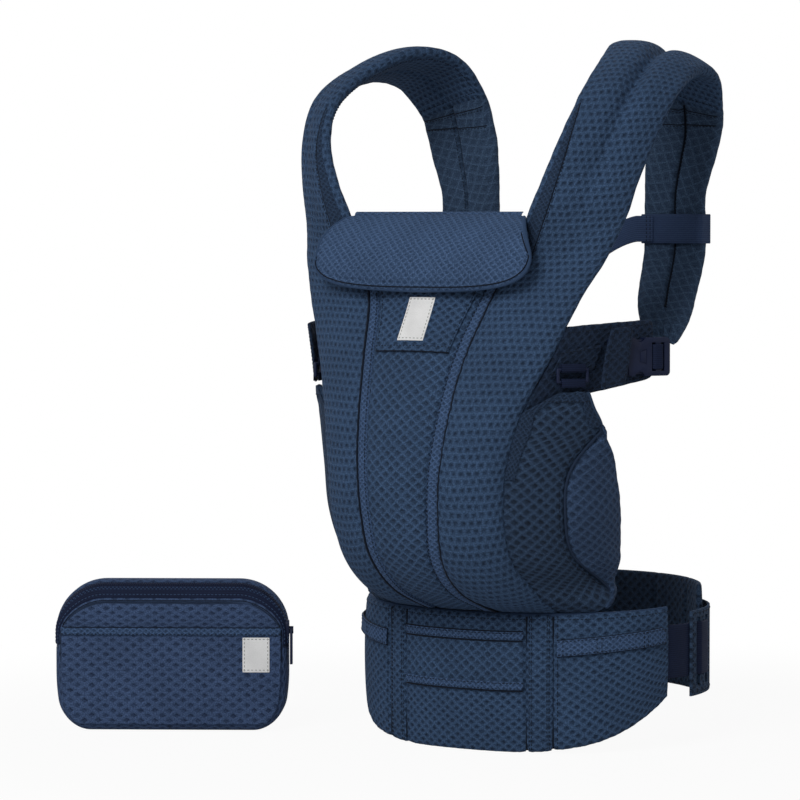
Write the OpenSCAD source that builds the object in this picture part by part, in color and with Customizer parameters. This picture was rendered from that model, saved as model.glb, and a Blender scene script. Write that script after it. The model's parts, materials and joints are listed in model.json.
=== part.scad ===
// Soft baby carrier, shaped as it is worn: a waist belt with a lumbar pad, a bucket-shaped
// body panel, two padded shoulder straps, a headrest, underarm pads, a chest strap and a
// zipped pouch that stands beside it.
// X runs across the wearer, -Y points away from the wearer's chest and +Z is up. The origin is
// on the wearer's own axis, level with the belt's lowest edge.

/* [Waist belt] */
// Half width of the closed belt, which is also the radius of its rear half
waist_r = 172; // [150:1:200]
// Depth of the belt's front half, from the wearer's axis
waist_front = 121; // [105:1:135]
// How far the belt's rear circle is behind the wearer's axis
waist_y = 35; // [20:1:50]
// Height of the belt at the front
belt_h = 127; // [110:1:150]
// Thickness of the belt's foam and cover
belt_t = 13; // [8:0.5:18]
// Thickness of the belt's inner lining
lining_t = 3; // [2:0.5:5]
// Angle from the front at which each wing ends
wing_end = 81; // [74:1:84]
// Height of a wing where it ends
wing_h = 82; // [70:1:95]
// Distance from the middle of the belt to its inner vertical seam
seam_x = 69; // [55:1:80]
// Width of the plain strip between the belt's two vertical seams
strip_w = 24; // [15:1:35]
// Height of the lower of the belt's two front bands
band_low = 57; // [45:1:75]
// Height of the upper front band
band_high = 103; // [85:1:110]
// Width of the front bands
front_band_w = 8; // [6:0.5:12]
// Thickness of the bands and straps sewn on the belt
patch_t = 2.2; // [1:0.1:4]
// Width of the loop strap on each wing
loop_strap_w = 15; // [10:1:25]

/* [Lumbar pad] */
// Height of the lumbar pad
lumbar_h = 104; // [80:1:110]
// Thickness of the lumbar cushion
lumbar_t = 11; // [6:0.5:16]
// Thickness of the lumbar pad's outer sleeve
sleeve_t = 2.4; // [1.5:0.1:4]
// Width of each slot in the lumbar pad's tabs
slot_w = 10; // [7:0.5:12]

/* [Body panel] */
// Thickness of the centre panel
panel_t = 12; // [6:0.5:18]
// Width of the binding band on each side of the centre panel
band_w = 12; // [6:0.5:18]
// Height of the body panel above the belt
body_h = 363; // [340:1:400]
// Thickness of the seat's side panels
seat_t = 8; // [4:0.5:12]
// Thickness of the padded thigh edges
thigh_t = 14; // [8:0.5:20]
// Height of the pocket flap under the headrest
pocket_h = 64; // [40:1:80]

/* [Shoulder straps] */
// Thickness of the shoulder strap's padding over the front and the shoulder
strap_t = 18; // [12:0.5:24]
// Thickness of the shoulder strap behind the shoulder
strap_back_t = 14; // [8:0.5:18]
// Width of the straight stretch down the back
back_w = 62; // [60:1:76]
// Thickness of a strap along its sewn edges
edge_t = 5; // [3:0.5:8]

/* [Headrest] */
// Width of the headrest along its hinge
rest_w = 184; // [160:1:200]
// Width of the headrest at its widest
rest_wide = 260; // [230:1:276]
// Thickness of the headrest's pad
rest_t = 17; // [10:0.5:20]
// Radius of the rolled hinge fabric
hinge_r = 4; // [3:0.5:6]

/* [Underarm pads] */
// Height of the underarm pad
arm_pad_h = 72; // [50:1:75]
// Thickness of the underarm pad
arm_pad_t = 7; // [5:0.5:10]
// Thickness of the outer layer over the front of the underarm pad
arm_cover_t = 4; // [2:0.5:6]

/* [Webbing and buckles] */
// Width of the waist webbing
waist_web = 50; // [40:1:55]
// Width of the webbing at the shoulders and the chest
thin_web = 25; // [20:1:30]
// Thickness of the webbing
web_t = 1.6; // [1.2:0.1:2.4]
// Thickness of a buckle's housing
buckle_t = 9; // [8:0.5:12]
// Wall of a buckle's housing
buckle_wall = 1.6; // [1.2:0.1:2]
// How far a released half is drawn out of its housing
release = 26; // [20:1:30]

/* [Chest strap] */
// Height of the chest strap's loops above the belt's top edge
chest_h = 356; // [350:1:360]
// How far the chest strap slides up the shoulder straps
chest_travel = 20; // [10:1:25]
// How far the chest strap hangs down in the middle
chest_sag = 27; // [15:1:40]

/* [Pouch] */
// Width of the pouch
pouch_w = 224; // [180:1:260]
// Height of the pouch
pouch_h = 145; // [120:1:170]
// Depth of the pouch
pouch_d = 46; // [30:1:60]
// Radius of the pouch's lower corners
pouch_r = 30; // [20:1:36]
// Radius of the pouch's upper corners
pouch_top_r = 48; // [36:1:52]
// Height of the pouch's front pocket
pouch_pocket_h = 100; // [80:1:105]
// Turn of the pouch about the vertical
pouch_turn = 33; // [0:1:60]

/* [Fabric] */
// Clearance between neighbouring soft pieces
gap = 0.5; // [0.3:0.05:0.8]

/* [Hidden] */

// Colours
mesh_navy = "#2c3d56";
dark_navy = "#202c40";
web_navy = "#1f2739";
plastic_navy = "#1c2436";
label_white = "#e4e4e2";

// ---------- curves ----------

function lerp(a, b, t) = a + (b - a) * t;
function unit(v) = v / norm(v);

// A smooth curve through rows of [key, value], where a value is a number or a list of numbers.
function row_of(rows, s, i = 0) =
    i >= len(rows) - 2 || s < rows[i + 1][0] ? i : row_of(rows, s, i + 1);
function slope(rows, i) =
    let (a = max(i - 1, 0), b = min(i + 1, len(rows) - 1))
    (rows[b][1] - rows[a][1]) / (rows[b][0] - rows[a][0]);
function at(rows, s) =
    let (i = row_of(rows, s), h = rows[i + 1][0] - rows[i][0], t = (s - rows[i][0]) / h)
    (2*t*t*t - 3*t*t + 1) * rows[i][1] + (t*t*t - 2*t*t + t) * h * slope(rows, i)
    + (3*t*t - 2*t*t*t) * rows[i + 1][1] + (t*t*t - t*t) * h * slope(rows, i + 1);

// ---------- padded solids ----------

// The normal of the surface f(u, v), with u and v from 0 to 1.
function normal(f, u, v, e = 0.01) =
    unit(cross(f(min(u + e, 1), v) - f(max(u - e, 0), v),
               f(u, min(v + e, 1)) - f(u, max(v - e, 0))));

// Thickness of a pad that is full in the middle and thin along all four edges.
function pillow(full, edge) =
    function (u, v) edge + (full - edge) * sqrt(max(0, sin(180 * u) * sin(180 * v)));
// Thickness of a strap that is thin along its two long edges only.
function padded_strap(full, edge) =
    function (u, v) edge + (full - edge) * sqrt(max(0, sin(180 * u)))
                                         * sin(90 * min(1, 6 * v, 6 * (1 - v)));
function even(thick) = function (u, v) thick;

// One closed solid: the surface f(u, v) thickened to thick(u, v), in nu by nv patches.
module quilt(f, thick, nu, nv) {
    row = nu + 1;
    half = row * (nv + 1);
    spots = [for (j = [0:nv], i = [0:nu]) [i / nu, j / nv]];
    mid = [for (p = spots) f(p[0], p[1])];
    out = [for (p = spots) normal(f, p[0], p[1]) * thick(p[0], p[1]) / 2];
    patches = [for (j = [0:nv - 1], i = [0:nu - 1]) j * row + i];
    sides = [for (i = [0:nu - 1]) each [[i, i + 1], [half - 1 - i, half - 2 - i]],
             for (j = [0:nv - 1]) each [[(j + 1) * row, j * row],
                                        [j * row + nu, (j + 1) * row + nu]]];
    polyhedron(
        concat([for (k = [0:half - 1]) mid[k] + out[k]], [for (k = [0:half - 1]) mid[k] - out[k]]),
        [for (a = patches) each [[a, a + row, a + row + 1], [a, a + row + 1, a + 1],
                                 [half + a, half + a + row + 1, half + a + row],
                                 [half + a, half + a + 1, half + a + row + 1]],
         for (s = sides) each [[s[0], s[1], s[1] + half], [s[0], s[1] + half, s[0] + half]]]);
}

// ---------- waist ----------

// A point on the waist line at angle t from the front, offset outwards by r.
function waist(t, r, z) =
    [(waist_r + r) * sin(t),
     waist_y - ((cos(t) > 0 ? waist_front : waist_r) + r) * cos(t), z];

seam_angle = asin(seam_x / waist_r);
strip_angle = asin((seam_x + strip_w) / waist_r);
// Half the seam clearance, as an angle on the waist line
gap_angle = gap / waist_r * 90 / PI;
wing_rise = belt_h - wing_h + 5;
// Height of the belt's lower and upper edges at angle t
belt_low = [[0, 0], [0.3 * wing_end, 0.01 * wing_rise], [0.55 * wing_end, 0.16 * wing_rise],
            [0.75 * wing_end, 0.45 * wing_rise], [wing_end, wing_rise]];
function belt_z(t, v) = lerp(at(belt_low, abs(t)), belt_h + 5 * pow(abs(t) / wing_end, 2), v);
function belt_face(t0, t1, r) =
    function (u, v) let (t = lerp(t0, t1, u)) waist(t, r, belt_z(t, v));
belt_mid = -belt_t / 2;
web_z = belt_h + 5 - wing_h / 2;

module belt_segment(t0, t1, steps) {
    quilt(belt_face(t0 + gap_angle, t1 - gap_angle, belt_mid), pillow(belt_t, edge_t), steps, 8);
}
module belt_centre() {
    color(mesh_navy) belt_segment(-seam_angle, seam_angle, 12);
}
module belt_strips() {
    color(mesh_navy) for (m = [0, 1]) mirror([m, 0, 0])
        belt_segment(seam_angle, strip_angle, 4);
}
module right_wing() {
    color(mesh_navy) belt_segment(strip_angle, wing_end, 12);
}
module left_wing() {
    color(mesh_navy) belt_segment(-wing_end, -strip_angle, 12);
}
module belt_lining() {
    color(dark_navy) quilt(belt_face(-wing_end, wing_end, -belt_t - gap - lining_t / 2),
                           even(lining_t), 36, 4);
}

// A flat piece on the belt's outer face, from angle t0 to t1, with its lower edge at low(t).
function on_belt(t0, t1, low, high, skin = function (t, z) 0) =
    function (u, v) let (t = lerp(t0, t1, u), z = lerp(low(t), high(t), v))
        waist(t, skin(t, z) + gap + patch_t / 2, z);
// How far the padded front's skin is from the waist line
function front_skin(t, z) =
    belt_mid + pillow(belt_t, edge_t)((t / seam_angle + 1) / 2, z / belt_h) / 2;
module front_bands() {
    edge = seam_angle - 5 * gap_angle;
    color(mesh_navy) for (z = [band_low, band_high])
        quilt(on_belt(-edge, edge, function (t) z, function (t) z + front_band_w,
                      function (t, z) front_skin(t, z)),
              even(patch_t), 24, 2);
}
// Height of the loop strap's lower edge, which rises towards the wing's end
function loop_z(t) = web_z - 2 + 12 * (t - strip_angle) / (wing_end - strip_angle);
module loop_straps() {
    color(mesh_navy) for (m = [0, 1]) mirror([m, 0, 0])
        for (t = [[strip_angle - 0.3, strip_angle + 1.2], [strip_angle + 1.5, wing_end - 3]])
            quilt(on_belt(t[0], t[1], function (t) loop_z(t),
                          function (t) loop_z(t) + loop_strap_w), even(patch_t), 12, 2);
}

// ---------- lumbar pad and waist webbing ----------

tab_start = 95;   // angle at which the right tab starts
pad_start = 118;  // angle at which the cushion starts
tab_end = 228;    // angle at which the left tab ends
slot_angles = [100.5, 109.5];
lumbar_z = web_z + 3;
tab_z = web_z - 4;      // height of the tabs' middle
tab_h = lumbar_h - 24;
sleeve_r = waist_r - sleeve_t / 2;
channel_r = waist_r - sleeve_t - gap - web_t / 2;
cushion_r = channel_r - web_t / 2 - gap - lumbar_t / 2;
function mirror_angle(t) = tab_start + tab_end - t;
function slots() = [slot_angles[0], slot_angles[1],
                    mirror_angle(slot_angles[1]), mirror_angle(slot_angles[0])];
// The slots' half width as an angle
slot_half = slot_w / waist_r * 90 / PI;

// A band of the rear circle: a flat section of size [thick, tall], from angle t0 to t1.
module rear_band(t0, t1, r, z, thick, tall, corner = 0) {
    translate([0, waist_y, z]) rotate([0, 0, t0 - 90]) rotate_extrude(angle = t1 - t0, $fn = 96)
        translate([r, 0]) band_section(thick, tall, corner);
}
module band_section(thick, tall, corner) {
    if (corner == 0) square([thick, tall], center = true);
    else {
        square([thick, tall - 2 * corner], center = true);
        for (s = [-1, 1]) translate([0, s * (tall / 2 - corner)]) intersection() {
            scale_round(thick, corner, s);
            square([thick, 2 * corner], center = true);
        }
    }
}
// A round nose as thick as the band
module scale_round(thick, corner, s) {
    circle(r = thick / 2, $fn = 32);
    translate([0, -s * corner / 2]) square([thick, corner], center = true);
}
module lumbar_pad() {
    color(dark_navy) rear_band(pad_start, mirror_angle(pad_start), cushion_r, lumbar_z,
                               lumbar_t, lumbar_h, lumbar_t / 2);
}
module lumbar_sleeve() {
    color(dark_navy) difference() {
        rear_band(tab_start, tab_end, sleeve_r, tab_z, sleeve_t, tab_h);
        for (t = slots()) translate([0, waist_y, tab_z + 1]) rotate([0, 0, t - 90])
            translate([sleeve_r, 0, 0])
                cube([4 * sleeve_t, slot_w, waist_web + 14], center = true);
    }
}

// Radius of the webbing at angle t: out of the wing, out through the first slot, over the bar,
// in through the second slot and along the sleeve, then the same way out at the other end.
cross_half = slot_half * 0.62;
over_bar = web_t / 2 + gap;
under_tab = -sleeve_t - gap - web_t / 2;
function weave(t) =
    let (a = t > (tab_start + tab_end) / 2 ? mirror_angle(t) : t)
    lookup(a, [[wing_end, -belt_t / 2], [wing_end + 11, under_tab],
               [slot_angles[0] - cross_half, under_tab], [slot_angles[0] + cross_half, over_bar],
               [slot_angles[1] - cross_half, over_bar], [slot_angles[1] + cross_half, under_tab],
               [pad_start, under_tab]]);
function ribbon(t0, t1, r0 = function (t) weave(t)) =
    function (u, v) let (t = lerp(t0, t1, u)) waist(t, r0(t), web_z + (v - 0.5) * waist_web);
// The long webbing's angle at u: close steps through the weaves, wide ones in the sleeve
function long_angle(u) =
    lookup(u, [[0, wing_end + gap_angle * 4], [0.36, pad_start], [0.64, mirror_angle(pad_start)],
               [1, tab_end]]);
module waist_web_long() {
    color(web_navy)
        quilt(function (u, v) ribbon(long_angle(u), long_angle(u))(0, v), even(web_t), 84, 1);
}

buckle_angle = 258;        // angle of the waist buckle's mouth
wide_base = 22;            // length of the waist prongs' base
wide_length = 42;          // length of the waist housing
module waist_web_free() {
    color(web_navy)
        quilt(ribbon(tab_end + 2 * gap_angle, waist_joint_angle(-wide_base) - 0.2,
                     function (t) lerp(under_tab, -6, (t - tab_end) / 20)),
              even(web_t), 8, 1);
}
module waist_web_short() {
    color(web_navy)
        quilt(ribbon(waist_joint_angle(wide_length) + 0.6, 360 - wing_end - 4 * gap_angle,
                     function (t) -8), even(web_t), 4, 1);
}
// The angle that a point at x along the buckle's axis has on the waist line
function waist_joint_angle(x) = buckle_angle + atan(x / (waist_r - 7));
module at_waist_buckle() {
    translate([0, waist_y, web_z]) rotate([0, 0, buckle_angle - 90]) translate([waist_r - 7, 0, 0])
        rotate([0, 0, 90]) rotate([90, 0, 0]) children();
}

// ---------- side-release buckle ----------
// Local frame: the prongs go into the housing along +X, the width is along Y and the thickness
// along Z. The housing's mouth is at X = 0.

housing_side = 5;     // how much wider than its webbing a housing is, on each side
prong_gap = 0.25;     // clearance round the prongs in the housing
prong_l = 20;         // length of the release arms
arm_w = 3.2;          // width of a release arm
bar_t = 4;            // thickness of a bar that webbing turns round

module rounded_plate(length, width, thick, r) {
    linear_extrude(height = thick, center = true) {
        translate([r, -width / 2]) square([length - 2 * r, width]);
        translate([0, -width / 2 + r]) square([length, width - 2 * r]);
        for (x = [r, length - r], y = [-1, 1]) translate([x, y * (width / 2 - r)])
            circle(r = r, $fn = 32);
    }
}
module housing(w, length) {
    wide = w + 2 * housing_side;
    inner_t = buckle_t - 2 * buckle_wall;
    deep = prong_l + 3;
    difference() {
        rounded_plate(length, wide, buckle_t, 4);
        // cavity for the prongs
        translate([deep / 2 - 0.5, 0, 0])
            cube([deep + 1, wide - 2 * buckle_wall, inner_t], center = true);
        // round side windows, where the arms are pressed
        for (s = [-1, 1]) translate([deep * 0.55, s * (wide / 2 + 2), 0])
            cylinder(r = 6, h = buckle_t + 2, center = true, $fn = 48);
        // slot behind the bar that the webbing turns round
        translate([length - bar_t - 4, 0, 0]) cube([4, w + 1, buckle_t + 2], center = true);
        translate([deep + 4.5, 0, 0]) cube([4, w + 1, buckle_t + 2], center = true);
        // raised tongue's outline on both faces
        for (s = [-1, 1]) translate([0, 0, s * buckle_t / 2]) tongue_groove();
    }
}
module tongue_groove() {
    linear_extrude(height = 1, center = true) difference() {
        polygon([[12, -5], [20, -7.5], [20, 7.5], [12, 5]]);
        polygon([[13, -4.2], [19, -6], [19, 6], [13, 4.2]]);
    }
}
module prongs(w, base) {
    inner = w + 2 * housing_side - 2 * buckle_wall - 2 * prong_gap;
    inner_t = buckle_t - 2 * buckle_wall - 2 * prong_gap;
    difference() {
        union() {
            translate([-base, 0, 0])
                rounded_plate(base - 0.4, w + 2 * housing_side, buckle_t - 1, 3);
            translate([-1, -3, -inner_t / 2]) cube([prong_l, 6, inner_t]);
            translate([-1, -inner / 2, -inner_t / 2]) cube([2.5, inner, inner_t]);
        }
        translate([-base + 6, 0, 0]) cube([4, w + 1, buckle_t + 2], center = true);
        translate([-base + 14, 0, 0]) cube([4, w + 1, buckle_t + 2], center = true);
    }
}
// One release arm, with its round press pad in the housing's side window.
function arm_root(w) = [1.5 + prong_gap, w / 2 + housing_side - buckle_wall - arm_w / 2 - 0.3];
module release_arm(w) {
    inner_t = buckle_t - 2 * buckle_wall - 2 * prong_gap;
    outer = w / 2 + housing_side - buckle_wall - prong_gap;
    linear_extrude(height = inner_t, center = true) intersection() {
        union() {
            translate([arm_root(w)[0], outer - arm_w]) square([prong_l - 2, arm_w]);
            translate([(prong_l + 3) * 0.55, outer - 5.5]) circle(r = 5.5, $fn = 48);
        }
        translate([arm_root(w)[0], outer - 8]) square([prong_l - 2, 8]);
    }
}

module waist_housing() { color(plastic_navy) at_waist_buckle() housing(waist_web, wide_length); }
module waist_prongs() { color(plastic_navy) at_waist_buckle() prongs(waist_web, wide_base); }
module waist_arm_upper() { color(plastic_navy) at_waist_buckle() release_arm(waist_web); }
module waist_arm_lower() {
    color(plastic_navy) at_waist_buckle() mirror([0, 1, 0]) release_arm(waist_web);
}

// ---------- body ----------

foot = 3.5;   // height of the body's lower edge above the belt
// The body's bucket shape: at each height above the belt, an ellipse given by its foremost point
// and its two half axes.
bucket_front = [[foot, -77], [26, -139], [56, -173], [95, -184], [140, -186], [193, -176],
                [240, -160], [294, -133], [body_h, -116]];
bucket_wide = [[foot, waist_r - 9], [26, 122], [56, 127], [95, 137], [140, 143], [193, 162],
               [240, 190], [294, 265], [body_h, 300]];
bucket_deep = [[foot, waist_front - 9], [26, 118], [56, 129], [95, 130], [140, 132], [193, 134],
               [240, 138], [294, 140], [body_h, 140]];
function bucket(angle, h) =
    [at(bucket_wide, h) * sin(angle),
     at(bucket_front, h) + at(bucket_deep, h) * (1 - cos(angle)), belt_h + h];
function bucket_angle(x, h) = asin(min(x / at(bucket_wide, h), 1));
function on_bucket(x, h) = bucket(bucket_angle(x, h), h);

panel_half = [[foot, 26], [26, 25], [56, 27], [95, 30], [140, 33], [193, 38], [240, 44],
              [294, 57], [body_h, 86]];
strap_out = [[foot, 93], [26, 91], [56, 89], [95, 91], [140, 95], [193, 107], [240, 126],
             [294, 148]];
function strap_in(h) = at(panel_half, h) + band_w + gap;
top_edge = body_h - 1.5;

module centre_panel() {
    color(mesh_navy)
        quilt(function (u, v) let (h = lerp(foot, top_edge, v), w = at(panel_half, h))
                  on_bucket_signed(lerp(-w, w, u), h),
              pillow(panel_t, edge_t), 10, 24);
}
function on_bucket_signed(x, h) =
    let (p = on_bucket(abs(x), h)) [x < 0 ? -p[0] : p[0], p[1], p[2]];
module bindings() {
    color(mesh_navy) for (m = [0, 1]) mirror([m, 0, 0])
        quilt(function (u, v) let (h = lerp(foot, 286, v), w = at(panel_half, h) + gap)
                  on_bucket(lerp(w, w + band_w - gap, u), h),
              even(edge_t), 2, 20);
}
flap_top = 306;
flap_low = flap_top - pocket_h;
module pocket_flap() {
    color(mesh_navy)
        quilt(function (u, v) let (h = lerp(flap_low, flap_top, v), w = at(panel_half, h) - 5,
                                   p = on_bucket_signed(lerp(-w, w, u), h))
                  p + [0, -(panel_t + patch_t) / 2 - 0.3, 1.5],
              even(patch_t), 8, 8);
}
label_w = 28;   // width of the bare woven label
label_l = 40;   // its length
module body_label() {
    h = flap_low + 14;
    color(label_white)
        quilt(function (u, v) let (p = on_bucket_signed(lerp(-label_w, label_w, u) / 2 + 2,
                                                        h + label_l * v))
                  p + [0, -panel_t / 2 - 1.5 * patch_t - 0.3 - gap, 1.5],
              even(0.8), 3, 4);
}

// The seat's side panel and its padded thigh edge lie between the strap and the leg opening.
leg_edge = [[foot, 55], [26, 95], [57, 110], [96, 108], [142, 99], [178, 81], [192, 70],
            [209, 62]];
thigh_seam = [[foot, 53], [26, 88], [57, 74], [96, 68], [142, 69], [178, 79]];
seat_top = 209;    // height of the seat panel's top edge above the belt
seat_shoulder = 190;
function seat_inner(h) =
    let (edge = bucket_angle(at(strap_out, h) + 2 * gap, h))
    h < seat_shoulder ? edge : lerp(edge, 52, (h - seat_shoulder) / (seat_top - seat_shoulder));
function seat_outer(h) =
    h > 178 ? at(leg_edge, h) - 1 : min(at(thigh_seam, h) - gap_angle, at(leg_edge, h) - 1);
module right_seat_panel() {
    color(dark_navy)
        quilt(function (u, v) let (h = lerp(foot, seat_top, v))
                  bucket(lerp(seat_inner(h), seat_outer(h), u), h),
              pillow(seat_t, 3), 8, 16);
}
module left_seat_panel() { mirror([1, 0, 0]) right_seat_panel(); }
module right_thigh_pad() {
    color(dark_navy)
        quilt(function (u, v) let (h = lerp(foot + 6, 175, v))
                  bucket(lerp(at(thigh_seam, h) + 8 * gap_angle, at(leg_edge, h), u), h),
              pillow(thigh_t, 3), 5, 16);
}
module left_thigh_pad() { mirror([1, 0, 0]) right_thigh_pad(); }

// ---------- shoulder straps ----------

// The strap's inner and outer edge, as one list of six numbers, with heights above the belt.
back_y = 108;   // where the straight stretch down the back lies
back_x = 86;    // distance from the middle to its inner edge
function straight(h) = [back_x, back_y, h, back_x + back_w, back_y, h];
strap_stations = concat(
    [for (h = [foot, 26, 56, 95, 140, 193, 240, 294])
        let (a = on_bucket(strap_in(h) + gap, h), b = on_bucket(at(strap_out, h), h))
        [a[0], a[1], h, b[0], b[1], h]],
    [[86, -124, 326, 162, -95, 324], [102, -125, 362, 174, -78, 362],
     [116, -119, 399, 186, -66, 400], [129, -103, 437, 195, -46, 439],
     [133, -76, 476, 200, -20, 477], [125, -30, 508, 196, 15, 501],
     [110, 15, 527, 187, 46, 512], [98, 60, 521, 180, 80, 501], [91, 94, 486, 170, 104, 469],
     [89, back_y, 446, 164, back_y, 446], [87, back_y, 424, 158, back_y, 424],
     straight(400), straight(362), straight(334),
     straight(320), [90, 88, 299, 147, 90, 299], [103, 64, 272, 149, 68, 272],
     [120, 50, 250, 148, 54, 250]]);
function middle(s) = [s[0] + s[3], s[1] + s[4], s[2] + s[5]] / 2;
// Keys are the distance along the strap's middle, so that the curve has an even speed.
function keyed(rows, i = 0, s = 0) =
    i >= len(rows) ? []
    : let (d = i == 0 ? 0 : norm(middle(rows[i]) - middle(rows[i - 1])))
      concat([[s + d, rows[i]]], keyed(rows, i + 1, s + d));
strap_rows = keyed(strap_stations);
strap_l = strap_rows[len(strap_rows) - 1][0];
cross_seam = strap_rows[16][0];   // where the front padding ends, behind the shoulder
crown = 3;                        // how far the strap's middle stands proud of its edges
function strap_point(s, u) =
    let (p = at(strap_rows, s), a = [p[0], p[1], p[2]], b = [p[3], p[4], p[5]],
         q = at(strap_rows, min(s + 1, strap_l)), o = at(strap_rows, max(s - 1, 0)),
         n = unit(cross(b - a, middle(q) - middle(o))))
    lerp(a, b, u) + crown * min(1, s / 60) * sin(180 * u) * n + [0, 0, belt_h];
function strap_piece(s0, s1) = function (u, v) strap_point(lerp(s0, s1, v), u);

module right_strap_front() {
    color(mesh_navy) quilt(strap_piece(0, cross_seam - gap), padded_strap(strap_t, edge_t), 4, 36);
}
module left_strap_front() { mirror([1, 0, 0]) right_strap_front(); }
module right_strap_back() {
    color(mesh_navy)
        quilt(strap_piece(cross_seam + gap, strap_l), padded_strap(strap_back_t, edge_t), 4, 20);
}
module left_strap_back() { mirror([1, 0, 0]) right_strap_back(); }

// ---------- headrest ----------

hinge_y = -116;                       // where the hinge line lies
hinge_z = belt_h + body_h + hinge_r;
lip_drop = 70;                        // how far the lip hangs below the hinge
lip_out = 31;                         // how far the lip stands in front of the hinge
module headrest_hinge() {
    color(mesh_navy) translate([0, hinge_y, hinge_z]) rotate([0, 90, 0])
        cylinder(r = hinge_r, h = rest_w, center = true, $fn = 32);
}
// The pad between its straight hinge edge and its curved lip.
function rest_point(u, v) =
    let (s = 2 * u - 1,
         top = [s * rest_w / 2, -hinge_r - gap - 1.6, 0],
         low = [sin(90 * s) * rest_wide / 2, -lip_out, -lip_drop + 38 * pow(abs(s), 3)],
         belly = 8 * sin(180 * v))
    [0, hinge_y, hinge_z] + lerp(top, low, v)
    + [sin(90 * s) * 3 * sin(180 * v), -belly, 0.4 * belly];
module headrest() {
    color(mesh_navy) quilt(function (u, v) rest_point(u, 1 - v), pillow(rest_t, 4), 14, 8);
}

// ---------- underarm pads ----------

pad_low = 196;                        // the pad's lower edge, above the belt
pad_end = [172, -24];                 // where the pad's rear end is, in plan
function pad_root(h) =
    let (p = on_bucket(at(strap_out, h), h)) [p[0] + 1.2, p[1] + 2];
function pad_point(u, v, out) =
    let (h = pad_low + arm_pad_h * v, a = pad_root(h), d = unit(pad_end - a),
         p = lerp(a, pad_end, u) + [d[1], -d[0]] * (out + 2 * sin(180 * u)))
    [p[0], p[1], belt_h + h + u * lerp(24, 5, v)];
cover_share = 0.655;                   // how far back the outer layer reaches
module right_arm_pad() {
    color(dark_navy) quilt(function (u, v) pad_point(u, v, 0), pillow(arm_pad_t, 3), 8, 6);
}
module left_arm_pad() { mirror([1, 0, 0]) right_arm_pad(); }
cover_out = (arm_pad_t + arm_cover_t) / 2 + gap;
cover_start = 0.44;
// How far the outer layer stands off the pad at u: it lies over the sewn buckle half.
function cover_off(u) =
    cover_out + buckle_t + 4 - 3 * pow(1 - u / cover_share, 2);
module right_arm_cover() {
    color(dark_navy)
        quilt(function (u, v) let (w = lerp(cover_start, cover_share, u))
                  pad_point(w, 0.14 + 0.82 * v, cover_off(w)),
              even(arm_cover_t), 8, 6);
}
module left_arm_cover() { mirror([1, 0, 0]) right_arm_cover(); }

// The pad's middle line in plan, for the ring and the buckle on it
pad_mid = pad_root(pad_low + arm_pad_h / 2);
pad_turn = atan2(pad_end[1] - pad_mid[1], pad_end[0] - pad_mid[0]);
// Children have +X along the pad towards the back, +Y outwards and +Z up.
module on_pad(along, out, h) {
    translate([pad_mid[0], pad_mid[1], belt_h + h]) rotate([0, 0, pad_turn])
        translate([along, 0, 0]) mirror([0, 1, 0]) translate([0, out, 0]) children();
}

ring_bar = 1.6;       // radius of the ring's round bar
ring_along = 21;      // where the ring is on the pad
ring_h = 224;         // height of the ring's middle above the belt
ring_out = arm_pad_t / 2 + 3 * gap + web_t + ring_bar + web_t;
ring_l = thin_web + 2 * ring_bar + 3;
ring_w = 11;
module ring() {
    for (s = [-1, 1]) translate([0, 0, s * ring_w / 2]) rotate([0, 90, 0])
        cylinder(r = ring_bar, h = ring_l, center = true, $fn = 32);
    for (s = [-1, 1]) translate([s * ring_l / 2, 0, 0]) {
        cylinder(r = ring_bar, h = ring_w, center = true, $fn = 32);
        for (t = [-1, 1]) translate([0, 0, t * ring_w / 2]) sphere(r = ring_bar, $fn = 32);
    }
}
module seat_rings() {
    color(plastic_navy) for (m = [0, 1]) mirror([m, 0, 0]) on_pad(ring_along, ring_out, ring_h)
        ring();
}
// A fold of webbing round one bar of the ring: a U that opens away from the ring.
module web_fold(leg) {
    inner = ring_bar + 0.3;
    rotate([90, 0, 90]) linear_extrude(height = thin_web, center = true) difference() {
        union() {
            circle(r = inner + web_t / 2, $fn = 32);
            translate([-inner - web_t / 2, -leg]) square([2 * inner + web_t, leg]);
        }
        circle(r = inner, $fn = 32);
        translate([-inner, -leg - 1]) square([2 * inner, leg + 1]);
    }
}
module ring_webs() {
    color(web_navy) for (m = [0, 1]) mirror([m, 0, 0]) on_pad(ring_along, ring_out, ring_h) {
        translate([0, 0, -ring_w / 2]) web_fold(5);
        translate([0, 0, ring_w / 2]) mirror([0, 0, 1]) web_fold(5);
    }
}

// Webbing along each pad, from the shoulder strap to the sewn buckle half.
module arm_webs() {
    color(web_navy) for (m = [0, 1]) mirror([m, 0, 0])
        quilt(function (u, v) pad_point(lerp(0.05, cover_start, u),
                                        0.53 + (v - 0.5) * thin_web / arm_pad_h,
                                        (arm_pad_t + web_t) / 2 + gap),
              even(web_t), 6, 2);
}

// ---------- shoulder buckles ----------

slim_base = 18;
slim_length = 45;
buckle_along = cover_share * norm(pad_end - pad_mid) + 3;
buckle_out = arm_pad_t / 2 + 3.5 + gap + buckle_t / 2;
buckle_h = pad_low + arm_pad_h / 2 + 8;   // height of its middle above the belt
module at_arm_buckle() {
    on_pad(buckle_along, buckle_out, buckle_h) rotate([90, 0, 0]) children();
}
module right_housing() { color(plastic_navy) at_arm_buckle() housing(thin_web, slim_length); }
module left_housing() { mirror([1, 0, 0]) right_housing(); }
module right_prongs() { color(plastic_navy) at_arm_buckle() prongs(thin_web, slim_base); }
module left_prongs() { mirror([1, 0, 0]) right_prongs(); }
module right_arm_upper() { color(plastic_navy) at_arm_buckle() release_arm(thin_web); }
module right_arm_lower() {
    color(plastic_navy) at_arm_buckle() mirror([0, 1, 0]) release_arm(thin_web);
}
module left_arm_upper() { mirror([1, 0, 0]) right_arm_upper(); }
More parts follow.
